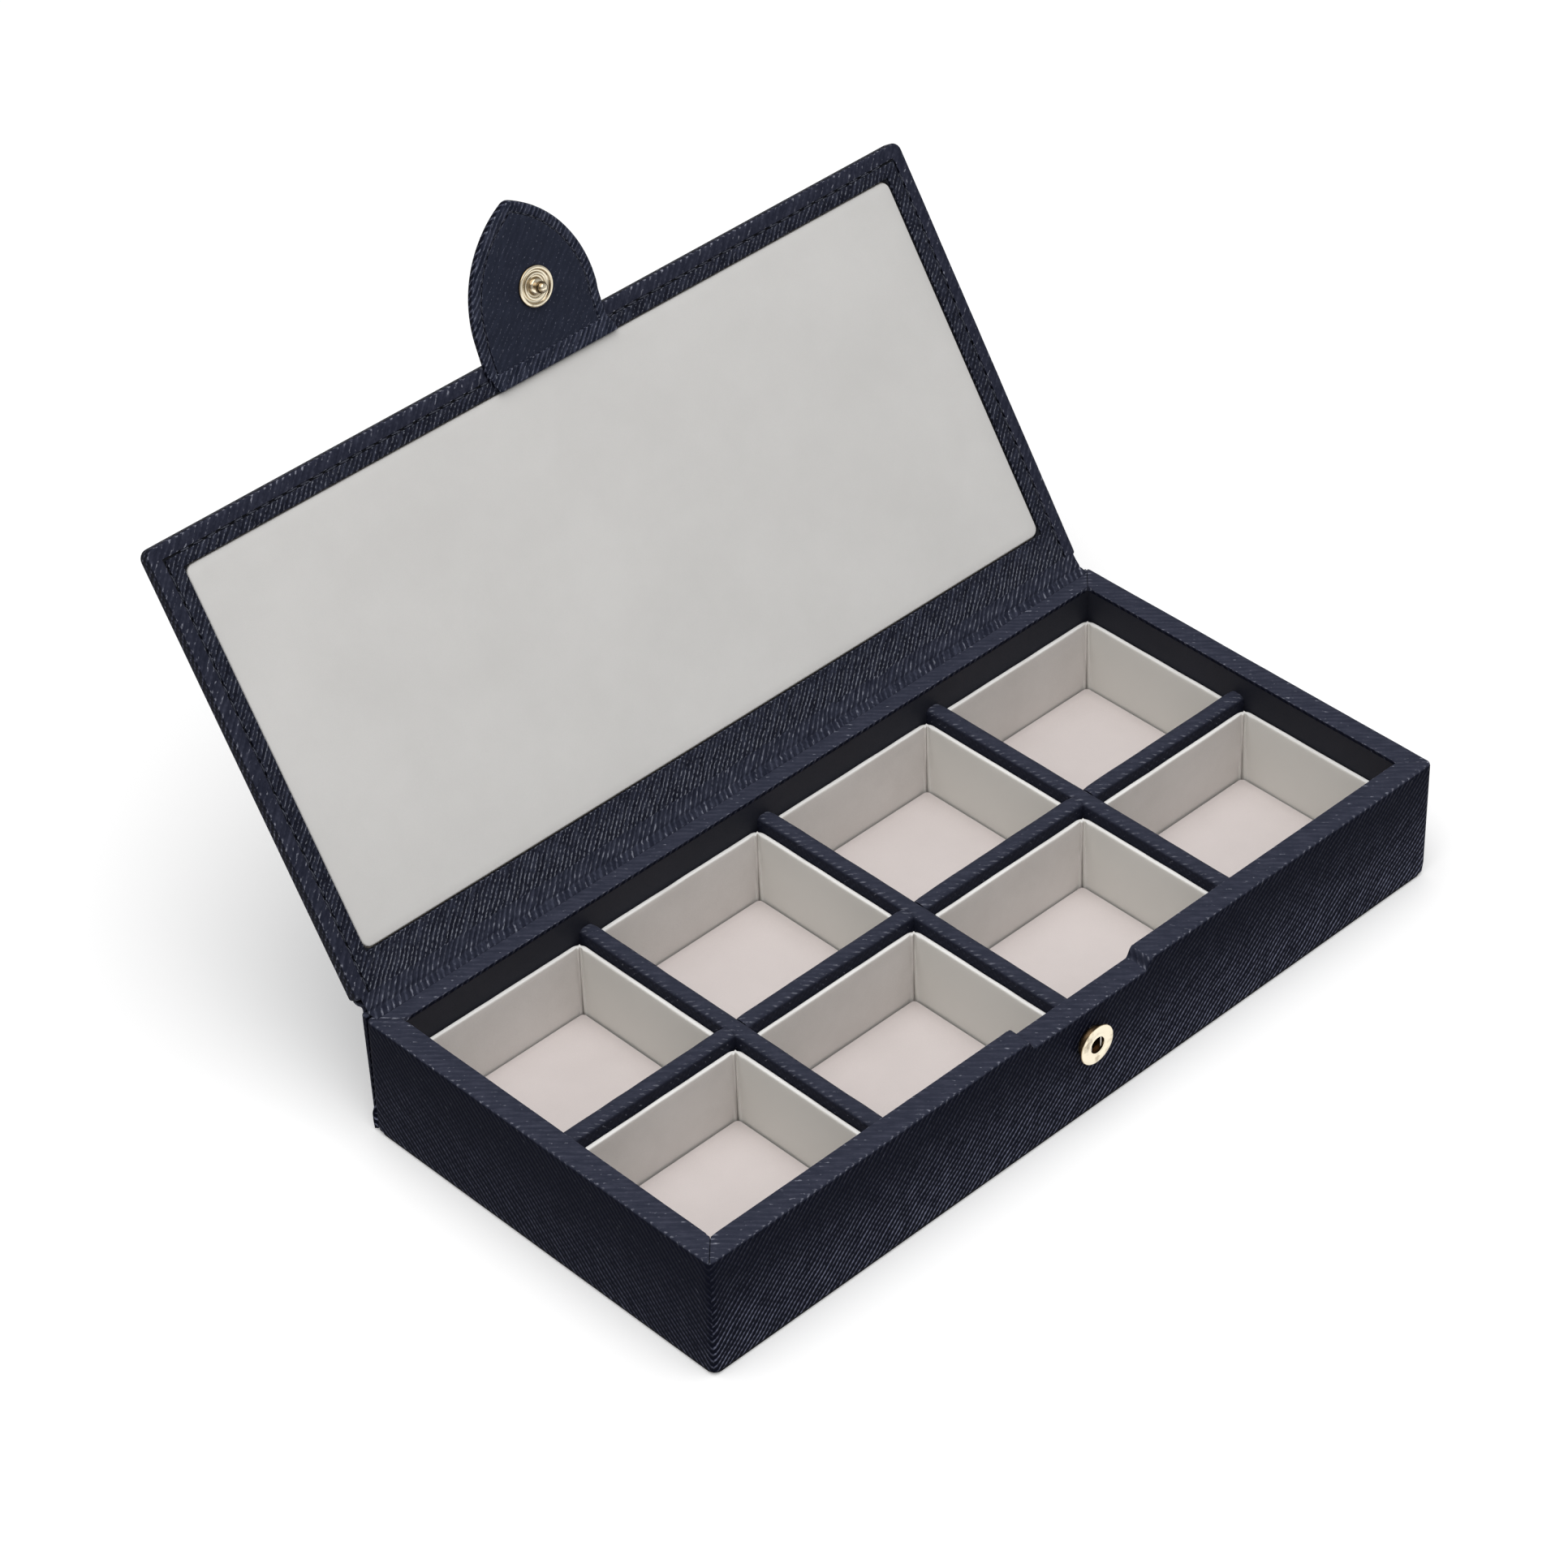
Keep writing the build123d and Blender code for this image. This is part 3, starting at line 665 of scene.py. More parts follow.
    def close(self, **sockets: Value) -> Material:
        """Add the shader, set its sockets and link it to the output.

        Args:
            sockets: What each of its inputs gets, with _ for each space in a name.

        Returns:
            The material.
        """
        inputs = {name.replace("_", " "): value for name, value in sockets.items()}
        shader = self.node("BsdfPrincipled", inputs)
        self.tree.links.new(shader.outputs[0], self.output.inputs["Surface"])
        return self.material


@dataclass(frozen=True)
class GrainedLeather:
    """Navy leather pressed with fine diagonal lines, with pale flecks of painted highlight where it turns
    over an edge.

    Walls run from groove to ridge and tops from top_groove to top_ridge, the tops a lighter copy with painted
    light and sheen; lengths are in millimetres.
    """

    name: str
    groove: Point = (0.0028, 0.0035, 0.0085)
    ridge: Point = (0.085, 0.09, 0.14)
    top_groove: Point = (0.0255, 0.0285, 0.045)
    top_ridge: Point = (0.048, 0.051, 0.075)
    fleck: Point = (0.3, 0.31, 0.37)
    turn: float = math.radians(45)
    line_pitch: float = 1.35
    cross_pitch: float = 1.25
    line_share: float = 0.8
    cross_share: float = 0.2
    line_wander: float = 2.4
    cross_wander: float = 3.0
    wander_scale: float = 0.06
    streak_stretch: Pair = (0.22, 0.9)
    streak_share: float = 1.5
    streak_tone: float = 1.4
    fine_scale: float = 3.0
    fine_share: float = 0.8
    patch_scale: float = 0.05
    tone_span: float = 1.15
    top_slopes: Pair = (0.2, 0.7)
    top_relief: float = 0.28
    top_level: float = 0.3
    fleck_level: float = 0.62
    fleck_share: float = 0.6
    fleck_stretch: float = 0.45
    speck_scale: float = 1.3
    edge_flecks: float = 0.6
    edge_slope: float = 0.72
    edge_slopes: Pair = (0.26, 0.08)
    foot_light: float = 0.0
    lit_between: Pair = (37.0, 10.0)
    lit_wander: float = 14.0
    end_shade: float = 0.0
    wall_flecks: float = 1.0
    line_start: float = 0.0
    depth: float = 0.075
    roughness: float = 0.6
    gloss: float = 0.05

    def build(self) -> Material:
        """Make the material.

        Returns:
            The material.
        """
        desk = Desk(self.name)
        along, across = desk.grain_axes(self.turn)
        lines, height, streak, fine = self.relief(desk, along, across)
        patches = desk.noise(desk.object_mm(), self.patch_scale, 3.0, 0.6)
        worn = desk.plus(patches, 0.5)
        # Faces that look up take the lighter top colours: painted light and sheen over the leather's own
        # grain.
        top = desk.ramp(desk.facing(Axis.Z), *self.top_slopes)
        wall_colour = desk.mix(self.wall_tone(desk, height, worn, patches), self.groove, self.ridge)
        tone = desk.times(desk.ramp(height, 0.0, self.tone_span), worn)
        top_tone = desk.plus(desk.times(tone, self.top_relief), self.top_level)
        top_tone = desk.plus(top_tone, desk.times(streak, self.streak_tone))
        top_colour = desk.mix(desk.ramp(top_tone, 0.0, 1.0), self.top_groove, self.top_ridge)
        speck_place = desk.vector(desk.times(along, self.fleck_stretch), across)
        speck = desk.noise(speck_place, self.speck_scale, 2.0, 0.6)
        spark = desk.ramp(speck, self.fleck_level, self.fleck_level + 0.1)
        spark = desk.times(desk.times(spark, desk.ramp(lines, 0.1, 0.9)), self.fleck_share)
        spark = desk.times(spark, desk.fade(top, 1.0 - self.wall_flecks))
        colour = desk.mix(spark, desk.mix(top, wall_colour, top_colour), self.fleck)
        # Pale flecks along the rounded edges: painted highlight.
        off_edge = desk.math(Sum.ABSOLUTE, desk.minus(desk.facing(Axis.Z), self.edge_slope))
        edge_highlight = desk.times(desk.ramp(lines, 0.2, 0.85), desk.ramp(speck, 0.42, 0.6))
        edge_highlight = desk.times(desk.times(edge_highlight, desk.ramp(off_edge, *self.edge_slopes)), self.edge_flecks)
        flattened = desk.minus(1.0, desk.times(top, 1.0 - self.top_relief))
        return desk.close(
            Base_Color=desk.mix(edge_highlight, colour, self.fleck),
            Roughness=desk.plus(desk.times(fine, 0.2), self.roughness),
            Specular_IOR_Level=self.gloss,
            Normal=desk.bump(desk.times(height, flattened), self.depth, 0.9),
        )

    def relief(self, desk: Desk, along: Link, across: Link) -> tuple[Link, Link, Link, Link]:
        """Height of the pressed grain.

        Args:
            desk: The material's desk.
            along: Place along the lines.
            across: Place across the lines.

        Returns:
            The main lines, the whole height, its streaks and its fine part.
        """
        wander = desk.noise(desk.vector(along, across), self.wander_scale, 2.0)
        waves = []
        for place, reach, pitch in (
            (across, self.line_wander, self.line_pitch),
            (along, self.cross_wander, self.cross_pitch),
        ):
            bent = desk.plus(place, desk.times(wander, reach))
            waves.append(desk.math(Sum.SINE, desk.times(bent, math.tau / pitch)))
        streak_place = desk.vector(*map(desk.times, (along, across), self.streak_stretch))
        streak = desk.minus(desk.noise(streak_place, 1.0, 3.0, 0.6), 0.5)
        fine = desk.minus(desk.noise(desk.vector(along, across), self.fine_scale, 2.0, 0.6), 0.5)
        height = desk.plus(desk.times(waves[0], self.line_share), desk.times(waves[1], self.cross_share))
        height = desk.plus(height, desk.times(streak, self.streak_share))
        return waves[0], desk.plus(height, desk.times(fine, self.fine_share)), streak, fine

    def wall_tone(self, desk: Desk, height: Link, worn: Link, patches: Link) -> Link:
        """Share of the ridge's colour on the walls, with painted shade on the walls that face the ends and
        painted floor reflection that grows towards the foot, so darker under the rim.

        Args:
            desk: The material's desk.
            height: Height of the grain.
            worn: How worn the leather is.
            patches: Noise that the wear follows.

        Returns:
            The share.
        """
        tone = desk.times(desk.ramp(height, self.line_start, self.line_start + self.tone_span), worn)
        # Painted shade on the walls that face the ends.
        if self.end_shade:
            tone = desk.times(tone, desk.minus(1.0, desk.times(desk.facing_end(), self.end_shade)))
        # Painted reflection of the floor, strongest at the foot.
        if self.foot_light:
            up = desk.parts(desk.object_mm())[Axis.Z.value]
            lit = desk.ramp(desk.plus(up, desk.times(patches, self.lit_wander)), *self.lit_between)
            tone = desk.times(tone, desk.fade(lit, self.foot_light))
        return tone


@dataclass(frozen=True)
class SmoothLining:
    """Plain dark lining paper with a faint tooth."""

    name: str
    dark: Point = (0.007, 0.008, 0.014)
    light: Point = (0.013, 0.0145, 0.024)
    tooth_scale: float = 2.6
    cloud_scale: float = 0.05

    def build(self) -> Material:
        """Make the material.

        Returns:
            The material.
        """
        desk = Desk(self.name)
        place = desk.object_mm()
        tooth = desk.noise(place, self.tooth_scale, 3.0)
        return desk.close(
            Base_Color=desk.mix(desk.noise(place, self.cloud_scale), self.dark, self.light),
            Roughness=desk.plus(desk.times(tooth, 0.2), 0.55),
            Specular_IOR_Level=0.25,
            Normal=desk.bump(tooth, 0.03, 0.5),
        )


@dataclass(frozen=True)
class Suede:
    """Short-napped grey suede with a faint mottle, with painted highlight along its top edge, painted light
    on the walls that face the box's ends and, where set, painted shade on its edges and sides.
    """

    name: str
    dark: Point
    light: Point
    side_light: Point = (1.0, 1.0, 1.0)
    side_light_share: float = 0.85
    highlight_above: float = 1000.0
    highlight_band: float = 0.3
    edge_highlight: Point = (0.86, 0.85, 0.83)
    edge_shade: Point | None = None
    mottle_share: float = 0.3
    cloud_share: float = 0.6
    nap_share: float = 0.5
    nap_scale: float = 4.5
    mottle_scale: float = 0.16
    cloud_scale: float = 0.035

    def build(self) -> Material:
        """Make the material.

        Returns:
            The material.
        """
        desk = Desk(self.name)
        place = desk.object_mm()
        nap = desk.noise(place, self.nap_scale, 3.0, 0.7)
        mottle = desk.noise(place, self.mottle_scale, 3.0, 0.6)
        cloud = desk.noise(place, self.cloud_scale)
        tone = desk.times(desk.minus(mottle, 0.5), self.mottle_share)
        for part, share in ((cloud, self.cloud_share), (nap, self.nap_share)):
            tone = desk.plus(tone, desk.times(desk.minus(part, 0.5), share))
        colour = desk.mix(desk.ramp(tone, -0.35, 0.35), self.dark, self.light)
        # Walls that face the box's ends take a lighter, greener copy of the colour: painted light.
        turned = tuple(a * b for a, b in zip(self.light, self.side_light))
        colour = desk.mix(desk.times(desk.facing_end(), self.side_light_share), colour, turned)
        # Paler band at the top edge: painted highlight.
        up = desk.parts(place)[Axis.Z.value]
        edge = desk.ramp(up, self.highlight_above - self.highlight_band, self.highlight_above)
        colour = desk.mix(edge, colour, self.edge_highlight)
        # Dark rounded edge and sides, where set: painted shade of the gap beside a pad.
        if self.edge_shade:
            colour = desk.mix(desk.ramp(desk.facing(Axis.Z), 0.85, 0.6), colour, self.edge_shade)
        return desk.close(
            Base_Color=colour,
            Roughness=0.92,
            Specular_IOR_Level=0.12,
            Sheen_Weight=0.1,
            Sheen_Roughness=0.5,
            Normal=desk.bump(desk.plus(nap, desk.times(mottle, 0.5)), 0.06, 0.35),
        )


@dataclass(frozen=True)
class Metal:
    """Plated metal with fine turning marks and a little tarnish, and where set painted shade on its sloping
    faces.
    """

    name: str
    colour: Point
    tarnish_and_shade: Point
    roughness: float
    slope_shade: float = 0.0
    mark_scale: float = 2.2
    mark_share: float = 0.16
    stain_scale: float = 0.5

    def build(self) -> Material:
        """Make the material.

        Returns:
            The material.
        """
        desk = Desk(self.name)
        place = desk.object_mm()
        marks = desk.noise(place, self.mark_scale, 4.0, 0.7)
        stain = desk.ramp(desk.noise(place, self.stain_scale), 0.5, 0.9)
        # Darker sloping faces: painted shade.
        slope = desk.times(desk.ramp(desk.facing(Axis.Z), 0.97, 0.6), self.slope_shade)
        return desk.close(
            Base_Color=desk.mix(desk.math(Sum.MAXIMUM, stain, slope), self.colour, self.tarnish_and_shade),
            Metallic=1.0,
            Roughness=desk.plus(desk.times(marks, self.mark_share), self.roughness - self.mark_share / 2),
            Normal=desk.bump(marks, 0.012, 0.4),
        )


@dataclass(frozen=True)
class Fibre:
    """Plain fibrous stuff: board, cloth or thread."""

    name: str
    dark: Point
    light: Point
    scale: float = 1.4
    roughness: float = 0.85

    def build(self) -> Material:
        """Make the material.

        Returns:
            The material.
        """
        desk = Desk(self.name)
        fibre = desk.noise(desk.object_mm(), self.scale, 4.0, 0.7)
        return desk.close(
            Base_Color=desk.mix(desk.ramp(fibre, 0.3, 0.7), self.dark, self.light),
            Roughness=self.roughness,
            Specular_IOR_Level=0.2,
            Normal=desk.bump(fibre, 0.05, 0.5),
        )


class Finishes:
    """All the finishes of the box."""

    def __init__(self) -> None:
        """Make every material once."""
        # The pale wall ridges are painted reflection of the floor; the walls that face the ends get painted
        # shade.
        self.leather = GrainedLeather(
            "grained_leather",
            groove=(0.0052, 0.0062, 0.0135),
            ridge=(0.285, 0.3, 0.425),
            cross_share=0.14,
            foot_light=0.88,
            end_shade=0.68,
            wall_flecks=0.3,
            line_start=0.17,
            edge_flecks=0.42,
            gloss=0.02,
        ).build()
        self.plain_leather = GrainedLeather(
            "plain_leather",
            groove=(0.011, 0.0125, 0.022),
            ridge=(0.03, 0.033, 0.052),
            edge_flecks=0.3,
            fleck_share=0.3,
            line_share=0.2,
            depth=0.05,
        ).build()
        self.valley_leather = GrainedLeather(
            "valley_leather",
            ridge=(0.04, 0.043, 0.066),
            groove=(0.014, 0.016, 0.028),
            top_groove=(0.012, 0.014, 0.025),
            top_ridge=(0.04, 0.044, 0.067),
            top_relief=0.7,
            line_pitch=1.15,
            edge_flecks=0.15,
            fleck_level=0.55,
            fleck_share=0.42,
        ).build()
        self.turned_leather = GrainedLeather(
            "turned_leather",
            top_groove=(0.015, 0.017, 0.03),
            top_ridge=(0.04, 0.043, 0.066),
            top_relief=0.5,
            line_share=0.4,
            fleck_level=0.58,
        ).build()
        self.border = GrainedLeather(
            "border_leather",
            top_groove=(0.006, 0.007, 0.0135),
            top_ridge=(0.033, 0.037, 0.058),
            top_relief=1.0,
            fleck=(0.22, 0.23, 0.27),
            line_pitch=1.05,
            line_share=0.5,
            speck_scale=3.0,
            fleck_level=0.52,
            fleck_share=0.6,
            depth=0.09,
        ).build()
        self.tab = GrainedLeather(
            "tab_leather",
            top_groove=(0.008, 0.0105, 0.021),
            top_ridge=(0.058, 0.064, 0.098),
            top_relief=0.95,
            line_pitch=1.15,
            line_share=0.6,
            cross_share=0.1,
            fleck=(0.21, 0.225, 0.28),
            speck_scale=2.8,
            fleck_level=0.53,
            fleck_share=0.6,
            depth=0.085,
        ).build()
        self.tab_face = GrainedLeather(
            "tab_face_leather",
            top_groove=(0.0185, 0.022, 0.037),
            top_ridge=(0.031, 0.036, 0.059),
            top_relief=0.6,
            line_pitch=1.45,
            line_share=0.15,
            cross_share=0.05,
            fleck=(0.19, 0.2, 0.26),
            speck_scale=3.4,
            fleck_level=0.58,
            fleck_share=0.6,
            depth=0.035,
        ).build()
        self.lining = SmoothLining("wall_lining").build()
        self.suede = Suede(
            "compartment_suede",
            (0.56, 0.53, 0.505),
            (0.67, 0.64, 0.615),
            side_light=(1.02, 1.05, 1.025),
            highlight_above=24.0,
        ).build()
        self.pad = Suede(
            "pad_suede",
            (0.6, 0.545, 0.53),
            (0.68, 0.62, 0.605),
            edge_shade=(0.04, 0.037, 0.035),
            mottle_share=0.2,
        ).build()
        self.panel = Suede("panel_suede", (0.6, 0.59, 0.575), (0.66, 0.65, 0.635), mottle_share=0.25).build()
        self.gold = Metal(
            "pale_gold", (0.93, 0.84, 0.65), (0.22, 0.15, 0.075), 0.17, slope_shade=0.95
        ).build()
        self.bronze = Metal("dark_bronze", (0.2, 0.13, 0.07), (0.06, 0.035, 0.02), 0.4).build()
        self.steel = Metal("spring_steel", (0.55, 0.52, 0.48), (0.3, 0.24, 0.18), 0.35).build()
        self.board = Fibre("grey_board", (0.2, 0.17, 0.14), (0.33, 0.29, 0.24)).build()
        self.dark_card = Fibre("dark_card", (0.006, 0.007, 0.01), (0.012, 0.013, 0.018)).build()
        self.cloth = Fibre("base_cloth", (0.006, 0.006, 0.008), (0.014, 0.014, 0.017), 2.5).build()
        self.thread = Fibre("waxed_thread", (0.012, 0.014, 0.024), (0.07, 0.075, 0.1), 3.0, 0.5).build()


def near(value: float, target: float, reach: float = 0.05) -> bool:
    """True where two numbers nearly agree."""
    return abs(value - target) < reach


def edge_middle(edge: bmesh.types.BMEdge) -> Vector:
    """Middle of an edge."""
    return (edge.verts[0].co + edge.verts[1].co) / 2


def is_upright(edge: bmesh.types.BMEdge) -> bool:
    """True for an edge along Z."""
    span = (edge.verts[1].co - edge.verts[0].co).normalized()
    return abs(span.z) > 0.99


def is_at(edge: bmesh.types.BMEdge, axis: Axis, place: float) -> bool:
    """True for an edge that lies at a place on an axis."""
    return all(near(vertex.co[axis.value], place) for vertex in edge.verts)


def folds_between(edge: bmesh.types.BMEdge, high: float) -> bool:
    """Find the edges at a height where a face that looks up or down meets an upright one.

    Args:
        edge: The edge.
        high: The height.

    Returns:
        True for such an edge.
    """
    if not is_at(edge, Axis.Z, high) or len(edge.link_faces) != 2:
        return False
    first, second = sorted(abs(face.normal.z) for face in edge.link_faces)
    return first < 0.2 and second > 0.8


@dataclass
class Tray:
    """The tray: leather skin over walls and rim, dividers, liners and pads."""

    finishes: Finishes
    corner_radius: float = 1.5
    rim_radius: float = 0.9
    lip_radius: float = 0.3
    lip_depth: float = 1.0
    skin: float = 0.8
    skin_foot: float = 1.0
    foot_tuck: float = 0.15
    foot_height: float = 1.2
    seam_width: float = 0.46
    seam_depth: float = 0.78
    shut_seam_depth: float = 0.14
    dip_outer: float = 19.6
    dip_inner: float = 17.5
    dip_depth: float = 2.6
    dip_reach: float = 8.0
    dip_margin: float = 1.2
    dip_cuts: int = 18
    dip_zone: float = 7.0
    crease_width: float = 1.6
    crease_lift: float = 0.16
    crease_push: float = 0.12
    swell: float = 0.09
    swell_wave: float = 17.0
    rim_swell: float = 0.07
    rim_ripple: float = 0.035
    divider_skin: float = 0.55
    divider_cut: float = 1.6
    divider_end_drop: float = 0.35
    divider_end_reach: float = 1.1
    liner_wall: float = 1.2
    liner_radius: float = 2.6
    liner_top_radius: float = 0.45
    liner_swell: float = 0.13
    fold_place: float = 2.6
    fold_width: float = 1.3
    fold_height: float = 0.16
    folds: float = 16.0
    liner_seam_width: float = 0.14
    liner_seam_height: float = 0.4
    liner_seam_reach: float = 3.5
    pad_gap: float = 0.2
    pad_radius: float = 1.2
    pad_crown: float = 0.18
    socket_hole: float = 4.0

    def build(self) -> None:
        """Model and dress the whole tray."""
        self.build_skin()
        self.build_dividers()
        for row in ("front", "rear"):
            for column in range(1, 5):
                self.build_liner(f"{row}_{column}")
                self.build_pad(f"{row}_{column}")
        self.dress_nodes()

    def dress_nodes(self) -> None:
        """Give the CAD nodes that stay their finishes."""
        finish = self.finishes
        boards = ["base_board", "spine_board", "long_divider_core"]
        boards += [f"{side}_wall_board" for side in ("front", "rear", "left", "right")]
        boards += [f"cross_divider_core_{number}" for number in (1, 2, 3)]
        for name in boards:
            dress(name, finish.board)
        dress("base_cover", finish.cloth)
        dress("tray_lining", finish.lining)
        dress("socket_spring", finish.steel)
        dress("socket_eyelet", finish.bronze)

    @staticmethod
    def past_sides(edge: bmesh.types.BMEdge) -> float:
        """How far an edge lies past the tray's sides, negative inside them."""
        middle = edge_middle(edge)
        return max(abs(middle.x) - PLAN.half_length, abs(middle.y) - PLAN.half_depth)

    def build_skin(self) -> None:
        """Leather over the walls and the rim, with open seams at three of its corners."""
        length, depth, top = PLAN.half_length, PLAN.half_depth, PLAN.height
        skin = Bench.block("tray_skin", (-length, -depth, self.skin_foot), (length, depth, top))
        Bench.delete_faces(skin, lambda face: face.normal.z < -0.9)
        Bench.pick(skin, Part.FACE, lambda face: face.normal.z > 0.9)
        bpy.ops.mesh.inset(thickness=PLAN.rim)
        Bench.sink(self.lip_depth)
        outside = -(self.corner_radius + 0.2)
        inside = 0.2 - PLAN.rim
        at_end = length - 0.1
        for test, radius, segments in (
            (lambda edge: is_upright(edge) and abs(edge_middle(edge).x) > at_end, self.corner_radius, 4),
            (lambda edge: folds_between(edge, top) and self.past_sides(edge) > outside, self.rim_radius, 4),
            (lambda edge: folds_between(edge, top) and self.past_sides(edge) < inside, self.lip_radius, 2),
            (self.is_seam_line, self.seam_width / 2, 2),
        ):
            Bench.round_edges(skin, test, radius, segments)
        Bench.divide(skin, x=140, y=64, z=12)
        front = PLAN.rim + 2.0 - depth
        first = self.dip_inner - self.dip_margin
        span = self.dip_outer - self.dip_inner + 2 * self.dip_margin
        steps = [first + span * index / self.dip_cuts for index in range(self.dip_cuts + 1)]
        for side in (-1, 1):
            def around_dip(face: bmesh.types.BMFace) -> bool:
                """True for a face near this end of the dip."""
                middle = face.calc_center_median()
                return middle.y < front and abs(middle.x * side - self.dip_outer) < self.dip_zone

            Bench.cut(skin, around_dip, Axis.X, [side * step for step in steps])
        Bench.shape(skin, self.skin_place)
        Bench.thicken(skin, self.skin)
        self.pierce(skin)
        Bench.finish(skin, self.finishes.leather)
        stand_for(skin, Slot.LEATHER, Body.TRAY, "tray_leather")

    def pierce(self, skin: Piece) -> None:
        """Cut the hole for the snap's socket through the front of the skin.

        Args:
            skin: The skin.
        """
        low, high = node_box("socket_cap")
        Bench.clear()
        bpy.ops.mesh.primitive_cylinder_add(
            vertices=40,
            radius=self.socket_hole,
            depth=6,
            location=((low.x + high.x) / 2, -PLAN.half_depth, (low.z + high.z) / 2),
            rotation=(QUARTER_TURN, 0, 0),
        )
        punch = bpy.context.object
        Bench.activate(skin)
        cut = skin.modifiers.new("socket_hole", "BOOLEAN")
        cut.operation = "DIFFERENCE"
        cut.solver = "EXACT"
        cut.object = punch
        bpy.ops.object.modifier_apply(modifier=cut.name)
        bpy.data.objects.remove(punch)

    def is_seam_line(self, edge: bmesh.types.BMEdge) -> bool:
        """Find the slanting edges where two sides of the rim meet.

        Args:
            edge: An edge of the skin.

        Returns:
            True for such an edge.
        """
        if len(edge.link_faces) != 2 or min(face.normal.z for face in edge.link_faces) < 0.95:
            return False
        span = edge.verts[1].co - edge.verts[0].co
        return abs(abs(span.x) - abs(span.y)) < 0.3 * abs(span.x) and abs(span.x) > 2

    def skin_place(self, point: Vector) -> Vector:
        """Dip, seams and slight unevenness of the skin.

        Args:
            point: A vertex of the plain skin.

        Returns:
            Where it goes.
        """
        x, y, z = point
        from_end = PLAN.half_length - abs(x)
        from_side = PLAN.half_depth - abs(y)
        if y < 0 and from_side < PLAN.rim + 1.2:
            dip = 1 - smooth_step(abs(x), self.dip_inner, self.dip_outer)
            point.z -= self.dip_depth * dip * smooth_step(z, PLAN.height - self.dip_reach, PLAN.height - 0.6)
            crease = mound(abs(x) - self.dip_outer, self.crease_width)
            if z > PLAN.height - 4:
                point.z += self.crease_lift * crease * ripple(x * 1.5, y * 1.3, z, 0.9)
                point.y += self.crease_push * crease * ripple(y, x * 1.5, z, 0.8)
        if from_end < PLAN.rim + 0.2 and from_side < PLAN.rim + 0.2 and z > PLAN.height - 0.8:
            off_seam = abs(from_end - from_side) / math.sqrt(2)
            if off_seam < 0.2 * self.seam_width:
                open_depth = self.seam_depth * smooth_step(min(from_end, from_side), 0.3, 0.9)
                point.z -= self.shut_seam_depth if x > 0 and y < 0 else open_depth
        swell = ripple(x, y, z, self.swell_wave)
        if z > PLAN.height - 1.5:
            point.z += self.rim_swell * swell + self.rim_ripple * ripple(x, y, z, 4.0)
        if from_side < 0.05:
            point.y += math.copysign(self.swell * swell, y)
        if from_end < 0.05:
            point.x += math.copysign(self.swell * swell, x)
        tuck = self.foot_tuck * (1 - smooth_step(z, self.skin_foot, self.skin_foot + self.foot_height))
        if from_side < self.corner_radius:
            point.y -= math.copysign(tuck, y)
        if from_end < self.corner_radius:
            point.x -= math.copysign(tuck, x)
        return point

    def bar(self, name: str, low: Sequence[float], high: Sequence[float], along: Axis) -> Piece:
        """Rounded leather cover of one straight stretch of divider.

        Args:
            name: Name of the piece.
            low: Lowest corner.
            high: Highest corner.
            along: Direction of the divider.

        Returns:
            The cover, with its thickness.
        """
        bar = Bench.block(name, low, high)
        across = 1 - along.value
        start, stop, top = low[along.value], high[along.value], high[2]
        Bench.delete_faces(bar, lambda face: face.normal.z < -0.9 or abs(face.normal[along.value]) > 0.9)
        half = (high[across] - low[across]) / 2
        Bench.round_edges(bar, lambda edge: is_at(edge, Axis.Z, top), half * 0.7, 5)
        Bench.split_along(bar, along, LONG_EDGE, max(int((stop - start) / self.divider_cut), 4))
        Bench.divide(bar, z=6)

        def soften(point: Vector) -> Vector:
            """Give the cover its uneven top, lower at its ends.

            Args:
                point: A vertex of the plain cover.

            Returns:
                Where it goes.
            """
            swell = ripple(point.x, point.y, point.z + 50, 9.0)
            share = smooth_step(point.z, top - 6, top)
            end = min(point[along.value] - start, stop - point[along.value])
            drop = self.divider_end_drop * math.exp(-end / self.divider_end_reach)
            point.z += share * (self.swell * swell - drop)
            point[across] += share * 0.07 * ripple(point.x, point.y, point.z, 5.0)
            return point

        Bench.shape(bar, soften)
        Bench.thicken(bar, self.divider_skin)
        return bar

    def build_dividers(self) -> None:
        """Leather of the dividers; those across run over the crossings."""
        starts, ends = [], []
        for number in (1, 2, 3):
            node = f"cross_divider_leather_{number}"
            low, high = node_box(node)
            starts.append(high.x)
            ends.append(low.x)
            bar = self.bar(f"cross_divider_skin_{number}", low, high, Axis.Y)
            middle = (low.x + high.x) / 2

            def lay(point: Vector, normal: Vector, middle: float = middle, top: float = high.z) -> Pair:
                """Place of the grain, measured across the top and down the sides."""
                return point.x + math.copysign(top - point.z, point.x - middle), -point.y

            Bench.finish(bar, self.finishes.plain_leather, lay=lay)
            stand_for(bar, Slot.LEATHER, Body.TRAY, node)
        low, high = node_box("long_divider_leather")
        stretches = []
        for start, end in zip([low.x] + starts, ends + [high.x]):
            corners = (start - 0.2, low.y, low.z), (end + 0.2, high.y, high.z)
            stretches.append(self.bar("stretch", *corners, Axis.X))
        cover = Bench.join(stretches, "long_divider_skin")

        def lay_long(point: Vector, normal: Vector) -> Pair:
            """Place of the grain, measured across the top and down the sides."""
            return point.x, -point.y - math.copysign(high.z - point.z, point.y)

        Bench.finish(cover, self.finishes.plain_leather, lay=lay_long)
        stand_for(cover, Slot.LEATHER, Body.TRAY, "long_divider_leather")

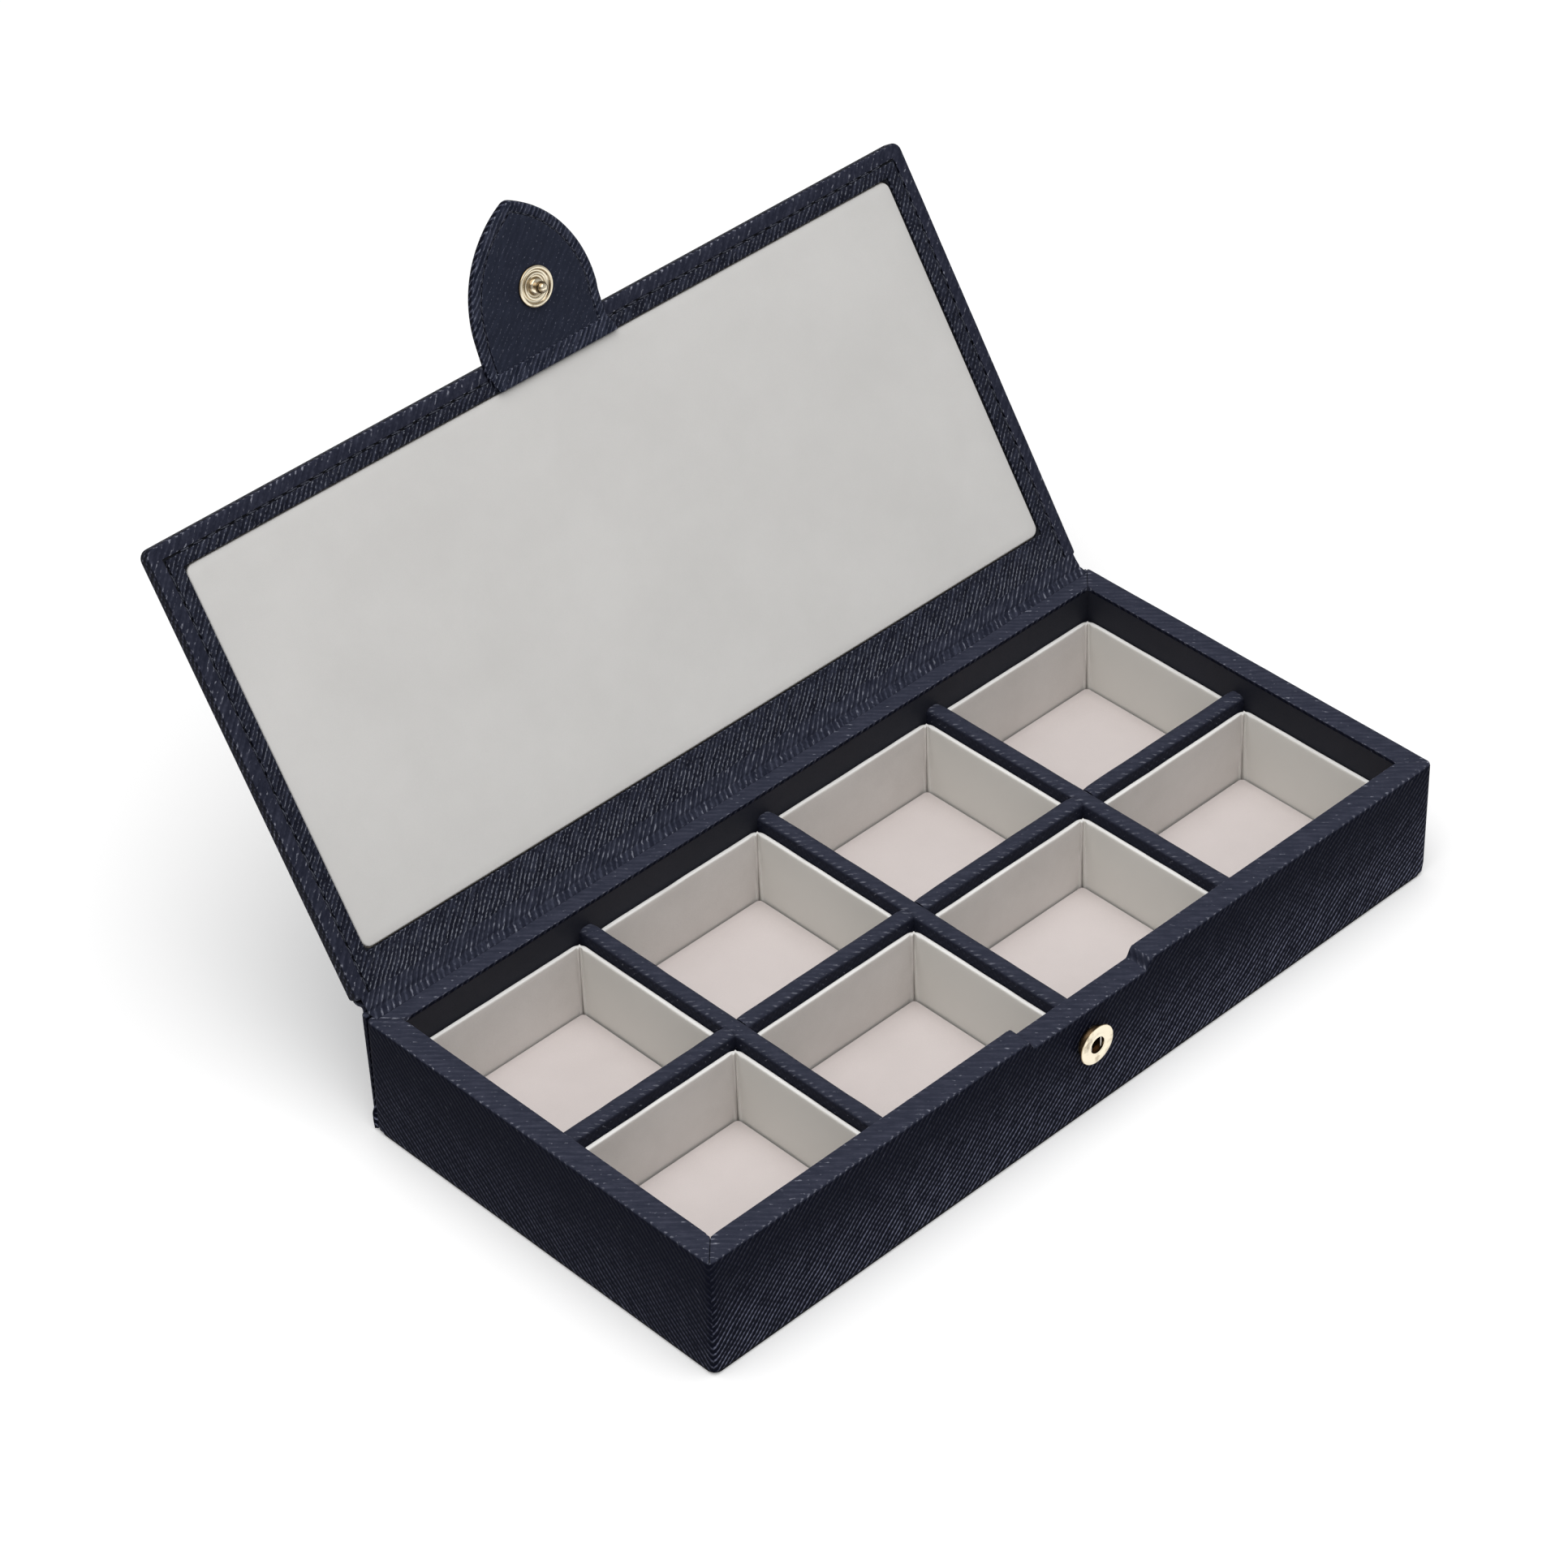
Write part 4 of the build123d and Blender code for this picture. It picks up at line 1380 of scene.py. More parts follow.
    def build_liner(self, cell: str) -> None:
        """Suede liner of one compartment, creased where its ends meet in the far corner.

        Args:
            cell: Row and column of the compartment.
        """
        low, high = node_box(f"liner_{cell}")
        liner = Bench.block(f"suede_liner_{cell}", low, high)
        Bench.delete_faces(liner, lambda face: abs(face.normal.z) > 0.9)
        Bench.round_edges(liner, is_upright, self.liner_radius, 12)
        Bench.divide(liner, x=26, y=24, z=12)
        Bench.thicken(liner, self.liner_wall)
        Bench.edit(liner)
        Bench.round_edges(liner, lambda edge: folds_between(edge, high.z), self.liner_top_radius, 3)
        Bench.shape(liner, lambda point: self.crumple(point, low, high))
        Bench.finish(liner, self.finishes.suede)
        stand_for(liner, Slot.SUEDE, Body.TRAY, f"liner_{cell}")

    def crumple(self, point: Vector, low: Vector, high: Vector) -> Vector:
        """Swell of a liner's inner face, with a seam and folds in its far corner.

        Args:
            point: A vertex of the plain liner.
            low: Lowest corner of the liner.
            high: Highest corner of the liner.

        Returns:
            Where it goes.
        """
        swell = ripple(point.x, point.y, point.z, 13.0)
        inner = min(high.x - point.x, high.y - point.y, point.x - low.x, point.y - low.y) > 0.6
        away = (point.xy - high.xy).length
        if inner:
            for index in (Axis.X.value, Axis.Y.value):
                side = point[index] - (low[index] + high[index]) / 2
                if abs(side) > (high[index] - low[index]) / 2 - 1.6:
                    point[index] -= math.copysign(self.liner_swell * swell + 0.07, side)
            turn = math.atan2(high.y - point.y, high.x - point.x)
            fold = math.sin(turn * self.folds + 1.5 * swell + 0.25 * point.z)
            fold += ripple(point.z, turn * 6, 0, 1.6)
            off_seam = abs((high.x - point.x) - (high.y - point.y)) / math.sqrt(2)
            seam = mound(off_seam, self.liner_seam_width) if away < self.liner_seam_reach else 0.0
            crease = mound(away - self.fold_place, self.fold_width)
            shift = self.fold_height * crease * fold + self.liner_seam_height * seam
            point.x += shift
            point.y += shift
        if point.z > high.z - 0.5:
            point.z += 0.1 * ripple(point.x, point.y, 0, 7.0) - 0.03
        return point

    def build_pad(self, cell: str) -> None:
        """Suede floor pad of one compartment, a little crowned.

        Args:
            cell: Row and column of the compartment.
        """
        low, high = node_box(f"floor_pad_{cell}")
        gap = Vector((self.pad_gap, self.pad_gap, 0))
        low, high = low + gap, high - gap
        pad = Bench.block(f"suede_pad_{cell}", low, high)
        Bench.round_edges(pad, is_upright, self.pad_radius, 4)
        Bench.round_edges(pad, lambda edge: folds_between(edge, high.z), 0.3, 2)
        Bench.divide(pad, x=24, y=22)
        middle = (low + high) / 2

        def crown(point: Vector) -> Vector:
            """Raise the middle of the pad's top.

            Args:
                point: A vertex of the flat pad.

            Returns:
                Where it goes.
            """
            if point.z > high.z - 0.1:
                across = abs(point.x - middle.x) / (high.x - middle.x)
                down = abs(point.y - middle.y) / (high.y - middle.y)
                rise = (1 - across ** 4) * (1 - down ** 4)
                point.z += self.pad_crown * rise + 0.05 * ripple(point.x, point.y, 0, 8.0) * rise
            return point

        Bench.shape(pad, crown)
        Bench.finish(pad, self.finishes.pad)
        stand_for(pad, Slot.SUEDE, Body.TRAY, f"floor_pad_{cell}")


@dataclass
class Hinge:
    """The two hinge leathers and the back cover."""

    finishes: Finishes
    skin: float = 0.8
    half_width: float = 113.25
    spine_gap: float = 0.6
    spine_radius: float = 1.3
    spine_lean: float = 0.95
    inner_skin: float = 0.3
    outer_skin: float = 0.7
    pinch: float = 0.35
    pinch_place: float = 0.42

    def build(self) -> None:
        """Model and dress the hinge."""
        self.build_spine()
        self.build_inner()
        self.build_outer()

    def build_spine(self) -> None:
        """Leather of the back cover, rounded at its foot and ends."""
        low, high = node_box("spine_leather")
        spine = Bench.block("spine_skin", low, high)
        Bench.delete_faces(spine, lambda face: face.normal.y < -0.9)
        Bench.round_edges(
            spine,
            lambda edge: is_at(edge, Axis.Y, high.y) and not near(edge_middle(edge).z, high.z),
            self.spine_radius,
        )
        Bench.round_edges(spine, lambda edge: folds_between(edge, high.z), 0.35, 2)
        Bench.divide(spine, x=120, z=14)
        lean = self.spine_lean / (high.z - low.z)

        def settle(point: Vector) -> Vector:
            """Lean the outer face, and leave a gap before the rear wall.

            Args:
                point: A vertex of the plain cover.

            Returns:
                Where it goes.
            """
            if point.y > low.y + 0.9:
                point.y -= (high.z - point.z) * lean
                point.y += 0.08 * ripple(point.x, 0, point.z, 15.0)
            elif point.y < low.y + 0.1:
                point.y += self.spine_gap
            return point

        Bench.shape(spine, settle)
        Bench.thicken(spine, self.skin)
        Bench.finish(spine, self.finishes.leather)
        stand_for(spine, Slot.LEATHER, Body.TRAY, "spine_leather")

    def strip(self, name: str, path: Callable[[float], Vector], thickness: float) -> Piece:
        """Leather strip along the hinge that follows a curve of (y, z) places.

        Args:
            name: Name of the piece.
            path: Gives (y, z) of the middle of the outer face, for shares from 0 to 1.
            thickness: Thickness of the leather.

        Returns:
            The strip.
        """
        Bench.clear()
        bpy.ops.mesh.primitive_grid_add(x_subdivisions=220, y_subdivisions=26, size=2)
        strip = Bench.take(name)

        def follow(point: Vector) -> Vector:
            """Bring a point of the flat grid, from -1 to 1, to the curve.

            Args:
                point: A vertex of the grid.

            Returns:
                Where it goes.
            """
            x = point.x * self.half_width
            y, z = path((point.y + 1) / 2)
            middle = math.sin(math.pi * (point.y + 1) / 2)
            y += 0.06 * middle * ripple(x, y, 3.0, 6.0)
            z += middle * (0.08 * ripple(x, y * 2, z, 7.0) + 0.04 * ripple(x, y * 3, z, 1.8))
            return Vector((x, y, z))

        Bench.shape(strip, follow)
        Bench.thicken(strip, thickness)
        return strip

    def build_inner(self) -> None:
        """Inner leather, from the rear rim through the valley to the lid."""
        lid_line = Vector((-math.cos(PLAN.opening), math.sin(PLAN.opening)))
        rim_end = Vector((PLAN.half_depth - 1.9, PLAN.height + 0.1))
        lid_end = (PLAN.opened() @ Vector((0, PLAN.half_depth - 0.6, PLAN.height + 0.17))).yz
        reach = (lid_end.y - rim_end.y) / lid_line.y
        valley = lid_end - lid_line * reach + Vector((0.0, -0.12))

        def path(share: float) -> Vector:
            """Curve through the valley, pinched where it turns.

            Args:
                share: Share of the way.

            Returns:
                The (y, z) place.
            """
            keep = 1 - share
            place = keep * keep * rim_end + 2 * keep * share * valley + share * share * lid_end
            return place + Vector((0.2, -self.pinch)) * mound(share - self.pinch_place, 0.1)

        def lay(point: Vector, normal: Vector) -> Pair:
            """Place of the grain, measured up the open lid."""
            return point.x, point.y * lid_line.x + point.z * lid_line.y

        strip = self.strip("inner_hinge_skin", path, self.inner_skin)
        Bench.finish(strip, self.finishes.valley_leather, lay=lay)
        self.bend(strip, (rim_end.x + 1.2, rim_end.y), lid_end, "inner_hinge_leather")

    def build_outer(self) -> None:
        """Outer leather, slack between the back cover and the lid."""
        high = node_box("spine_leather")[1]
        low_end = Vector((high.y, high.z - 0.2))
        lid_end = (PLAN.opened() @ Vector((0, PLAN.half_depth - 0.3, PLAN.height + 0.2 + 3.95))).yz
        knees = (low_end + Vector((0.1, 2.6)), lid_end + Vector((-1.1, -2.6)))

        def path(share: float) -> Vector:
            """Curve with a knee near each end.

            Args:
                share: Share of the way.

            Returns:
                The (y, z) place.
            """
            keep = 1 - share
            place = keep ** 3 * low_end + 3 * keep ** 2 * share * knees[0]
            return place + 3 * keep * share ** 2 * knees[1] + share ** 3 * lid_end

        strip = self.strip("outer_hinge_skin", path, -self.outer_skin)
        Bench.face_out(strip)
        Bench.finish(strip, self.finishes.valley_leather)
        self.bend(strip, low_end, lid_end, "outer_hinge_leather")

    def bend(self, strip: Piece, start: Sequence[float], end: Sequence[float], node: str) -> None:
        """Bake a strip's place into its mesh and let it stand for its node.

        Args:
            strip: The strip.
            start: (y, z) where it leaves the tray.
            end: (y, z) where it meets the lid.
            node: The node that it stands for.
        """
        start, end = (0, start[0] * MM, start[1] * MM), (0, end[0] * MM, end[1] * MM)
        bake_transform(strip)
        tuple(start)
        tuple(end)
        stand_for(strip, Slot.LEATHER, None, node)


@dataclass
class Lid:
    """The lid, modelled with x along it, y from its rear edge and z above its inner face."""

    finishes: Finishes
    length: float = 109.0
    thickness: float = 4.0
    corner_radius: float = 2.3
    rear_radius: float = 0.8
    outer_radius: float = 1.5
    inner_radius: float = 1.1
    gap: float = 0.2
    skin: float = 0.8
    seam_inset: float = 3.3
    seam_gap: float = 0.5
    sheet: float = 0.7
    mitre_depth: float = 0.3
    panel_side: float = 7.45
    panel_front: float = 7.1
    panel_rear: float = 8.9
    panel_sink: float = 0.6
    panel_height: float = 0.9
    panel_skin: float = 0.4
    panel_radius: float = 2.2
    panel_crown: float = 0.22
    panel_swell: float = 0.12
    tuck: float = 0.3
    stitch_length: float = 2.6
    stitch_radius: float = 0.24
    stitch_pitch: float = 3.75
    stitch_free: float = 17.4
    half_width: float = field(init=False)
    place: Matrix = field(init=False)

    def __post_init__(self) -> None:
        """Work out the lid's width and the place of its own frame in the box."""
        self.half_width = node_box("lid_leather")[1].x
        shut = Matrix.Translation((0, PLAN.half_depth, PLAN.height + self.gap))
        self.place = PLAN.opened() @ shut @ Matrix.Rotation(math.pi, 4, "X")

    def build(self) -> None:
        """Model and dress the lid."""
        self.build_skin()
        self.build_border()
        self.build_panel()
        self.build_stitches()
        dress("lid_board", self.finishes.board)
        for node in ("lid_frame_card", "lid_panel_card"):
            dress(node, self.finishes.dark_card)

    def build_skin(self) -> None:
        """Outer leather, turned in over three edges as far as the seam."""
        low, front = -self.thickness, self.length
        skin = Bench.block("lid_skin", (-self.half_width, 0, low), (self.half_width, front, 0))
        for test, radius, segments in (
            (lambda edge: is_upright(edge) and edge_middle(edge).y > front - 1, self.corner_radius, 6),
            (lambda edge: is_upright(edge) and edge_middle(edge).y < 1, self.rear_radius, 3),
            (lambda edge: folds_between(edge, low), self.outer_radius, 5),
            (lambda edge: folds_between(edge, 0), self.inner_radius, 4),
        ):
            Bench.round_edges(skin, test, radius, segments)
        inner_x = self.half_width - self.seam_inset
        inner_y = self.length - self.seam_inset

        def on_top(face: bmesh.types.BMFace) -> bool:
            """True for a face of the flat top."""
            return face.normal.z > 0.9 and near(face.calc_center_median().z, 0)

        def inside(face: bmesh.types.BMFace) -> bool:
            """True for a face of the top inside the seam."""
            middle = face.calc_center_median()
            return on_top(face) and abs(middle.x) < inner_x and middle.y < inner_y

        def turned_edge(edge: bmesh.types.BMEdge) -> bool:
            """True for the leather's own edge along the seam."""
            x, y, _ = edge_middle(edge)
            return folds_between(edge, 0) and abs(x) < inner_x + 0.1 and 2 < y < inner_y + 0.1

        Bench.cut(skin, on_top, Axis.X, (-inner_x, inner_x))
        Bench.cut(skin, on_top, Axis.Y, (inner_y,))
        Bench.pick(skin, Part.FACE, inside)
        Bench.sink(self.sheet)
        Bench.round_edges(skin, turned_edge, 0.25, 2)
        Bench.divide(skin, x=130, y=64)
        Bench.shape(skin, self.skin_place)
        Bench.thicken(skin, self.skin)
        Bench.finish(skin, self.finishes.turned_leather, self.place, lay=lay_on_lid)
        stand_for(skin, Slot.LEATHER, Body.LID, "lid_leather")

    def skin_place(self, point: Vector) -> Vector:
        """Unevenness of the skin, and the mitres at its front corners.

        Args:
            point: A vertex of the plain skin.

        Returns:
            Where it goes.
        """
        swell = ripple(point.x, point.y, point.z, 15.0)
        if point.z > -0.6:
            point.z += 0.06 * swell + 0.04 * ripple(point.x, point.y, 0, 3.5)
            fold_x = self.half_width - abs(point.x)
            fold_y = self.length - point.y
            if fold_x < 4 and fold_y < 4:
                off = abs(fold_x - fold_y) / math.sqrt(2)
                point.z -= self.mitre_depth * mound(off, 0.35) * smooth_step(max(fold_x, fold_y), 0.6, 1.4)
        elif point.z < -self.thickness + 0.2:
            point.z -= 0.05 + 0.06 * swell
        return point

    def build_border(self) -> None:
        """Inner leather between the seam and the suede panel."""
        edge = self.seam_inset + self.seam_gap
        half, front = self.half_width - edge, self.length - edge
        window_x = self.half_width - self.panel_side + self.tuck
        rear, ahead = self.panel_rear - self.tuck, self.length - self.panel_front + self.tuck
        border = Bench.block("lid_border_skin", (-half, 0.0, -self.sheet), (half, front, 0))
        Bench.delete_faces(border, lambda face: face.normal.z < 0.9)
        for axis, places in ((Axis.X, (-window_x, window_x)), (Axis.Y, (rear, ahead))):
            Bench.cut(border, lambda face: True, axis, places)

        def in_window(face: bmesh.types.BMFace) -> bool:
            """True for the face that the panel covers."""
            middle = face.calc_center_median()
            return abs(middle.x) < window_x and rear < middle.y < ahead

        def settle(point: Vector) -> Vector:
            """Give the face its unevenness.

            Args:
                point: A vertex of the plain border.

            Returns:
                Where it goes.
            """
            if point.z > -0.35:
                point.z += 0.07 * ripple(point.x, point.y, 7, 6.0) + 0.05 * ripple(point.x, point.y, 0, 2.2)
            return point

        Bench.delete_faces(border, in_window)
        Bench.divide(border, x=130, y=64)
        Bench.thicken(border, self.sheet)
        Bench.edit(border)
        Bench.round_edges(border, lambda edge: folds_between(edge, 0) and edge_middle(edge).y > 1, 0.3, 3)
        Bench.shape(border, settle)
        Bench.finish(border, self.finishes.border, self.place, lay=lay_on_lid)
        stand_for(border, Slot.LEATHER, Body.LID, "lid_border_leather")

    def build_panel(self) -> None:
        """Suede panel on its card, a little crowned."""
        half = self.half_width - self.panel_side
        rear, front = self.panel_rear, self.length - self.panel_front
        top = -self.panel_sink
        panel = Bench.block("lid_panel_skin", (-half, rear, top - self.panel_height), (half, front, top))
        Bench.round_edges(panel, is_upright, self.panel_radius, 5)
        Bench.delete_faces(panel, lambda face: face.normal.z < -0.9)
        Bench.round_edges(panel, lambda edge: folds_between(edge, top), 0.4, 3)
        Bench.divide(panel, x=90, y=44)
        middle = (rear + front) / 2

        def crown(point: Vector) -> Vector:
            """Raise the middle of the panel's top.

            Args:
                point: A vertex of the flat panel.

            Returns:
                Where it goes.
            """
            if point.z > top - 0.1:
                across = abs(point.x) / half
                down = abs(point.y - middle) / (front - middle)
                rise = (1 - across ** 6) * (1 - down ** 4)
                point.z += rise * (self.panel_crown + self.panel_swell * ripple(point.x, point.y, 2, 30.0))
            return point

        Bench.shape(panel, crown)
        Bench.thicken(panel, self.panel_skin)
        Bench.finish(panel, self.finishes.panel, self.place)
        stand_for(panel, Slot.PANEL, Body.LID, "lid_panel_suede")

    def build_stitches(self) -> None:
        """Stitches of the seam, each a little different."""
        inset = self.seam_inset + self.seam_gap / 2
        half, front = self.half_width - inset, self.length - inset
        pitch = self.stitch_pitch
        count = int(2 * (half - 3) / pitch)
        row = [(index - (count - 1) / 2) * pitch for index in range(count)]
        places = [(x, front, 0.0) for x in row if abs(x) > self.stitch_free]
        for index in range(int((front - 4) / pitch)):
            places += [(side * half, 3 + index * pitch, QUARTER_TURN) for side in (-1, 1)]
        matrices = []
        for number, (x, y, turn) in enumerate(places):
            tilt = 0.12 * ripple(number * 3.1, 0.5, 0.0, 1.0)
            length = 1 + 0.25 * ripple(number * 1.7, 4.5, 0.0, 1.0)
            place = Matrix.Translation((x, y, -0.2 + 0.1 * ripple(number * 2.3, 1.5, 0.0, 1.0)))
            matrices.append(place @ Matrix.Rotation(turn + tilt, 4, "Z") @ Matrix.Diagonal((length, 1, 1, 1)))
        pattern = stitch_pattern(self.stitch_length, self.stitch_radius)
        stitches = Bench.copies(pattern, matrices, "lid_stitches")
        Bench.finish(stitches, self.finishes.thread, self.place, 60)
        stand_for(stitches, Slot.THREAD, Body.LID, "lid_seam_thread")


def stitch_pattern(length: float, radius: float) -> Piece:
    """One stitch along x: a short thread that dives at both ends.

    Args:
        length: Length of the stitch.
        radius: Radius of the thread.

    Returns:
        The pattern piece.
    """
    Bench.clear()
    along_x = (0, QUARTER_TURN, 0)
    bpy.ops.mesh.primitive_cylinder_add(vertices=6, radius=radius, depth=length, rotation=along_x)
    stitch = Bench.take("stitch")
    Bench.split_along(stitch, Axis.X, length / 2, 4)

    def arch(point: Vector) -> Vector:
        """Let the thread dive and narrow towards its ends.

        Args:
            point: A vertex of the straight thread.

        Returns:
            Where it goes.
        """
        share = abs(point.x) / (length / 2)
        point.z -= 0.35 * share ** 3
        point.y *= 1 - 0.4 * share ** 2
        return point

    Bench.shape(stitch, arch)
    return stitch


@dataclass
class Tab:
    """The tab, modelled with x across, y from its crease to its tip and z above its inner face."""

    finishes: Finishes
    lid: Lid
    half_width: float = 18.0
    flap_start: float = 0.3
    sway: float = 1.4
    straight: float = 9.4
    side_radius: float = 29.6
    tip_radius: float = 2.8
    thickness: float = 2.2
    edge_radius: float = 0.8
    seam_inset: float = 2.4
    seam_width: float = 0.4
    face_sink: float = 0.08
    seam_floor: float = 0.5
    tilt: float = math.radians(17.0)
    crease_inset: float = 3.25
    root_rise: float = 1.6
    root_foot: float = 0.8
    root_skew: float = 1.5
    root_radius: float = 0.4
    stud_place: float = 15.2
    fold_place: float = 6.535
    fold_ease: float = 0.35
    stitch_length: float = 1.5
    stitch_radius: float = 0.19
    stitch_pitch: float = 2.1
    place: Matrix = field(init=False)

    def __post_init__(self) -> None:
        """Work out the place of the tab's own frame in the box."""
        crease = Matrix.Translation((0, self.lid.length - self.crease_inset, self.root_rise))
        self.place = self.lid.place @ crease @ Matrix.Rotation(self.tilt, 4, "X")

    def build(self) -> None:
        """Model and dress the tab."""
        self.build_root()
        self.build_flap()
        self.build_inner()
        self.build_stitches()
        self.build_stud()
        dress("stud_rivet", self.finishes.bronze)

    def tip_centre(self) -> float:
        """Distance of the tip arc's centre from the crease."""
        reach = self.side_radius - self.tip_radius
        return self.straight + math.sqrt(reach ** 2 - (self.half_width - self.side_radius) ** 2)

    def outline(
        self, inset: float, start: float, counts: tuple[int, int, int] = (10, 28, 6)
    ) -> list[Point]:
        """Points along the right side from the start to the tip: straight, side arc, tip arc.

        Args:
            inset: Distance inside the tab's edge.
            start: Distance of the first point from the crease.
            counts: Number of steps on the straight, the side arc and the tip arc.

        Returns:
            Points (x, y, turn), where turn is the direction of the edge's normal.
        """
        centre_x = self.half_width - self.side_radius
        centre_y = self.tip_centre()
        meeting = math.atan2(centre_y - self.straight, -centre_x)
        side, tip = self.side_radius - inset, max(self.tip_radius - inset, 0.3)
        points = []
        for index in range(counts[0]):
            points.append((self.half_width - inset, start + (self.straight - start) * index / counts[0], 0.0))
        for index in range(counts[1]):
            turn = meeting * index / counts[1]
            points.append((centre_x + side * math.cos(turn), self.straight + side * math.sin(turn), turn))
        for index in range(counts[2] + 1):
            turn = meeting + (QUARTER_TURN - meeting) * index / counts[2]
            points.append((tip * math.cos(turn), centre_y + tip * math.sin(turn), turn))
        return points

    def ring(self, inset: float, start: float, scale: float = 1.0) -> list[Pair]:
        """Closed ring in the tab's outline, (x, y) points from the right side of the crease round the tip.

        Args:
            inset: Distance inside the tab's edge.
            start: Distance of the ring's straight side from the crease.
            scale: Share to which the ring shrinks towards the middle of the tab.

        Returns:
            The ring's points.
        """
        right = self.outline(inset, start)
        whole = right + [(-x, y, turn) for x, y, turn in reversed(right[:-1])]
        middle = self.half_width
        shrunk = [(x * scale, middle + (y - middle) * scale) for x, y, _ in whole]
        return [(x - self.aside(y), y) for x, y in shrunk]

    def aside(self, reach: float) -> float:
        """How far the tab leans to the left at a distance from its crease."""
        return self.sway * math.sqrt(max(reach, 0.0) / self.tip_centre())

    def shell(self, name: str, rings: Sequence[tuple[float, float, float, float]]) -> Piece:
        """Closed shell through rings of the tab's outline, extruded one after the other.

        Args:
            name: Name of the piece.
            rings: (inset, start, scale, height) of each ring, from the outer face round the edge.

        Returns:
            The shell.
        """
        shapes = [self.ring(inset, start, scale) for inset, start, scale, _ in rings]
        count = len(shapes[0])
        Bench.clear()
        bpy.ops.mesh.primitive_circle_add(vertices=count, radius=1.0, fill_type="NGON")
        shell = Bench.take(name)
        bpy.ops.mesh.select_all(action="SELECT")
        for _ in rings[1:]:
            bpy.ops.mesh.extrude_region_move(TRANSFORM_OT_translate={"value": (0, 0, 1)})

        def settle(point: Vector) -> Vector:
            """Bring a point of the round column to its ring.

            Args:
                point: A vertex of the column, whose height is the ring's number.

            Returns:
                Where it goes.
            """
            level = round(point.z)
            index = round(math.atan2(point.x, point.y) * count / math.tau) % count
            return Vector((*shapes[level][index], rings[level][3]))

        Bench.shape(shell, settle)
        Bench.face_out(shell)
        return shell

    def build_root(self) -> None:
        """Root of the tab, glued on the lid's border beside the suede panel."""
        start = self.lid.length - self.lid.panel_front + 0.1
        crease = self.lid.length - self.crease_inset
        half = self.half_width - 0.1
        root = Bench.block("tab_root_skin", (-half, start, 0.0), (half, crease + 0.15, self.root_rise))
        Bench.round_edges(
            root, lambda edge: folds_between(edge, self.root_rise) or is_upright(edge), self.root_radius, 3
        )
        Bench.split_along(root, Axis.X, 20.0, 40)
        Bench.split_along(root, Axis.Y, 1.5, 6)

        def slope(point: Vector) -> Vector:
            """Let the root rise towards the crease, and skew its foot.

            Args:
                point: A vertex of the plain root.

            Returns:
                Where it goes.
            """
            share = max((point.y - start) / (crease - start), 0.0)
            height = self.root_foot + (self.root_rise - self.root_foot) * share ** 1.5
            if point.z > 0.3:
                point.z *= height / self.root_rise
                point.z += 0.08 * ripple(point.x, point.y, 0, 3.0)
            point.x += 0.15 * ripple(point.x * 0.1, point.y, 4, 2.0) + self.root_skew * (1 - min(share, 1.0))
            return point

        Bench.shape(root, slope)
        Bench.finish(root, self.finishes.tab, self.lid.place, lay=lay_on_lid)
        stand_for(root, Slot.LEATHER, Body.LID, "tab_root")

    def build_flap(self) -> None:
        """Outer leather of the tab from the crease on, turned in around its edge."""
        low, radius, seam = -self.thickness, self.edge_radius, self.seam_inset
        top, floor = -self.face_sink, -self.seam_floor
        turns = [math.radians(90 * index / 4) for index in range(5)]
        rings = [(radius, 0.3, scale, low) for scale in (0.25, 0.5, 0.75, 0.93)]
        rings += [
            (radius * (1 - math.sin(turn)), 0.0, 1.0, low + radius * (1 - math.cos(turn))) for turn in turns
        ]
        rings += [
            (radius * (1 - math.cos(turn)), 0.0, 1.0, radius * (math.sin(turn) - 1) + top) for turn in turns
        ]
        rings += [(seam - 0.25, 0.1, 1.0, top), (seam, 0.15, 1.0, -0.2), (seam + 0.05, 0.2, 1.0, floor)]
        rings += [(seam + self.seam_width, 0.3, scale, floor) for scale in (1.0, 0.6, 0.3)]
        flap = self.shell("tab_skin", rings)
        self.complete(flap, self.finishes.tab, "tab_outer_leather", "tab_fold_leather")

    def build_inner(self) -> None:
        """Inner leather of the tab, inside the seam, a little padded."""
        edge = self.seam_inset + self.seam_width
        rings = [(edge, 0.1, scale, -0.6) for scale in (0.5, 1.0)]
        rings += [(edge, 0.1, 1.0, -0.3), (edge + 0.07, 0.12, 1.0, -0.18), (edge + 0.25, 0.2, 1.0, -0.12)]
        rings += [(edge + 0.25, 0.2, scale, -0.1) for scale in (0.93, 0.8, 0.65, 0.5, 0.35, 0.2)]
        inner = self.shell("tab_inner_skin", rings)
        self.complete(inner, self.finishes.tab_face, "tab_inner_leather")

    def complete(self, piece: Piece, material: Material, *nodes: str) -> None:
        """Finish a leather of the tab, bake its place into its mesh and let it stand for its nodes.

        Args:
            piece: The leather.
            material: Its finish.
            nodes: Names of the nodes that it stands for.
        """
        Bench.shape(piece, self.soften)
        Bench.finish(piece, material, self.place, lay=lay_on_lid)
        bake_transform(piece)
        stand_for(piece, Slot.LEATHER, None, *nodes)

    def soften(self, point: Vector) -> Vector:
        """Slight unevenness of the tab's leather, which is thinner on its inside as far as the fold.

        Args:
            point: A vertex of the plain leather.

        Returns:
            Where it goes.
        """
        point.z += 0.05 * ripple(point.x, point.y, point.z, 5.0)
        point.z += 0.05 * math.exp(-point.y / 1.2) * ripple(point.x, point.y, 0, 2.2)
        if point.z > -0.5 * self.thickness:
            point.z -= self.fold_ease * (1 - smooth_step(point.y, self.fold_place, self.fold_place + 3))
        return point

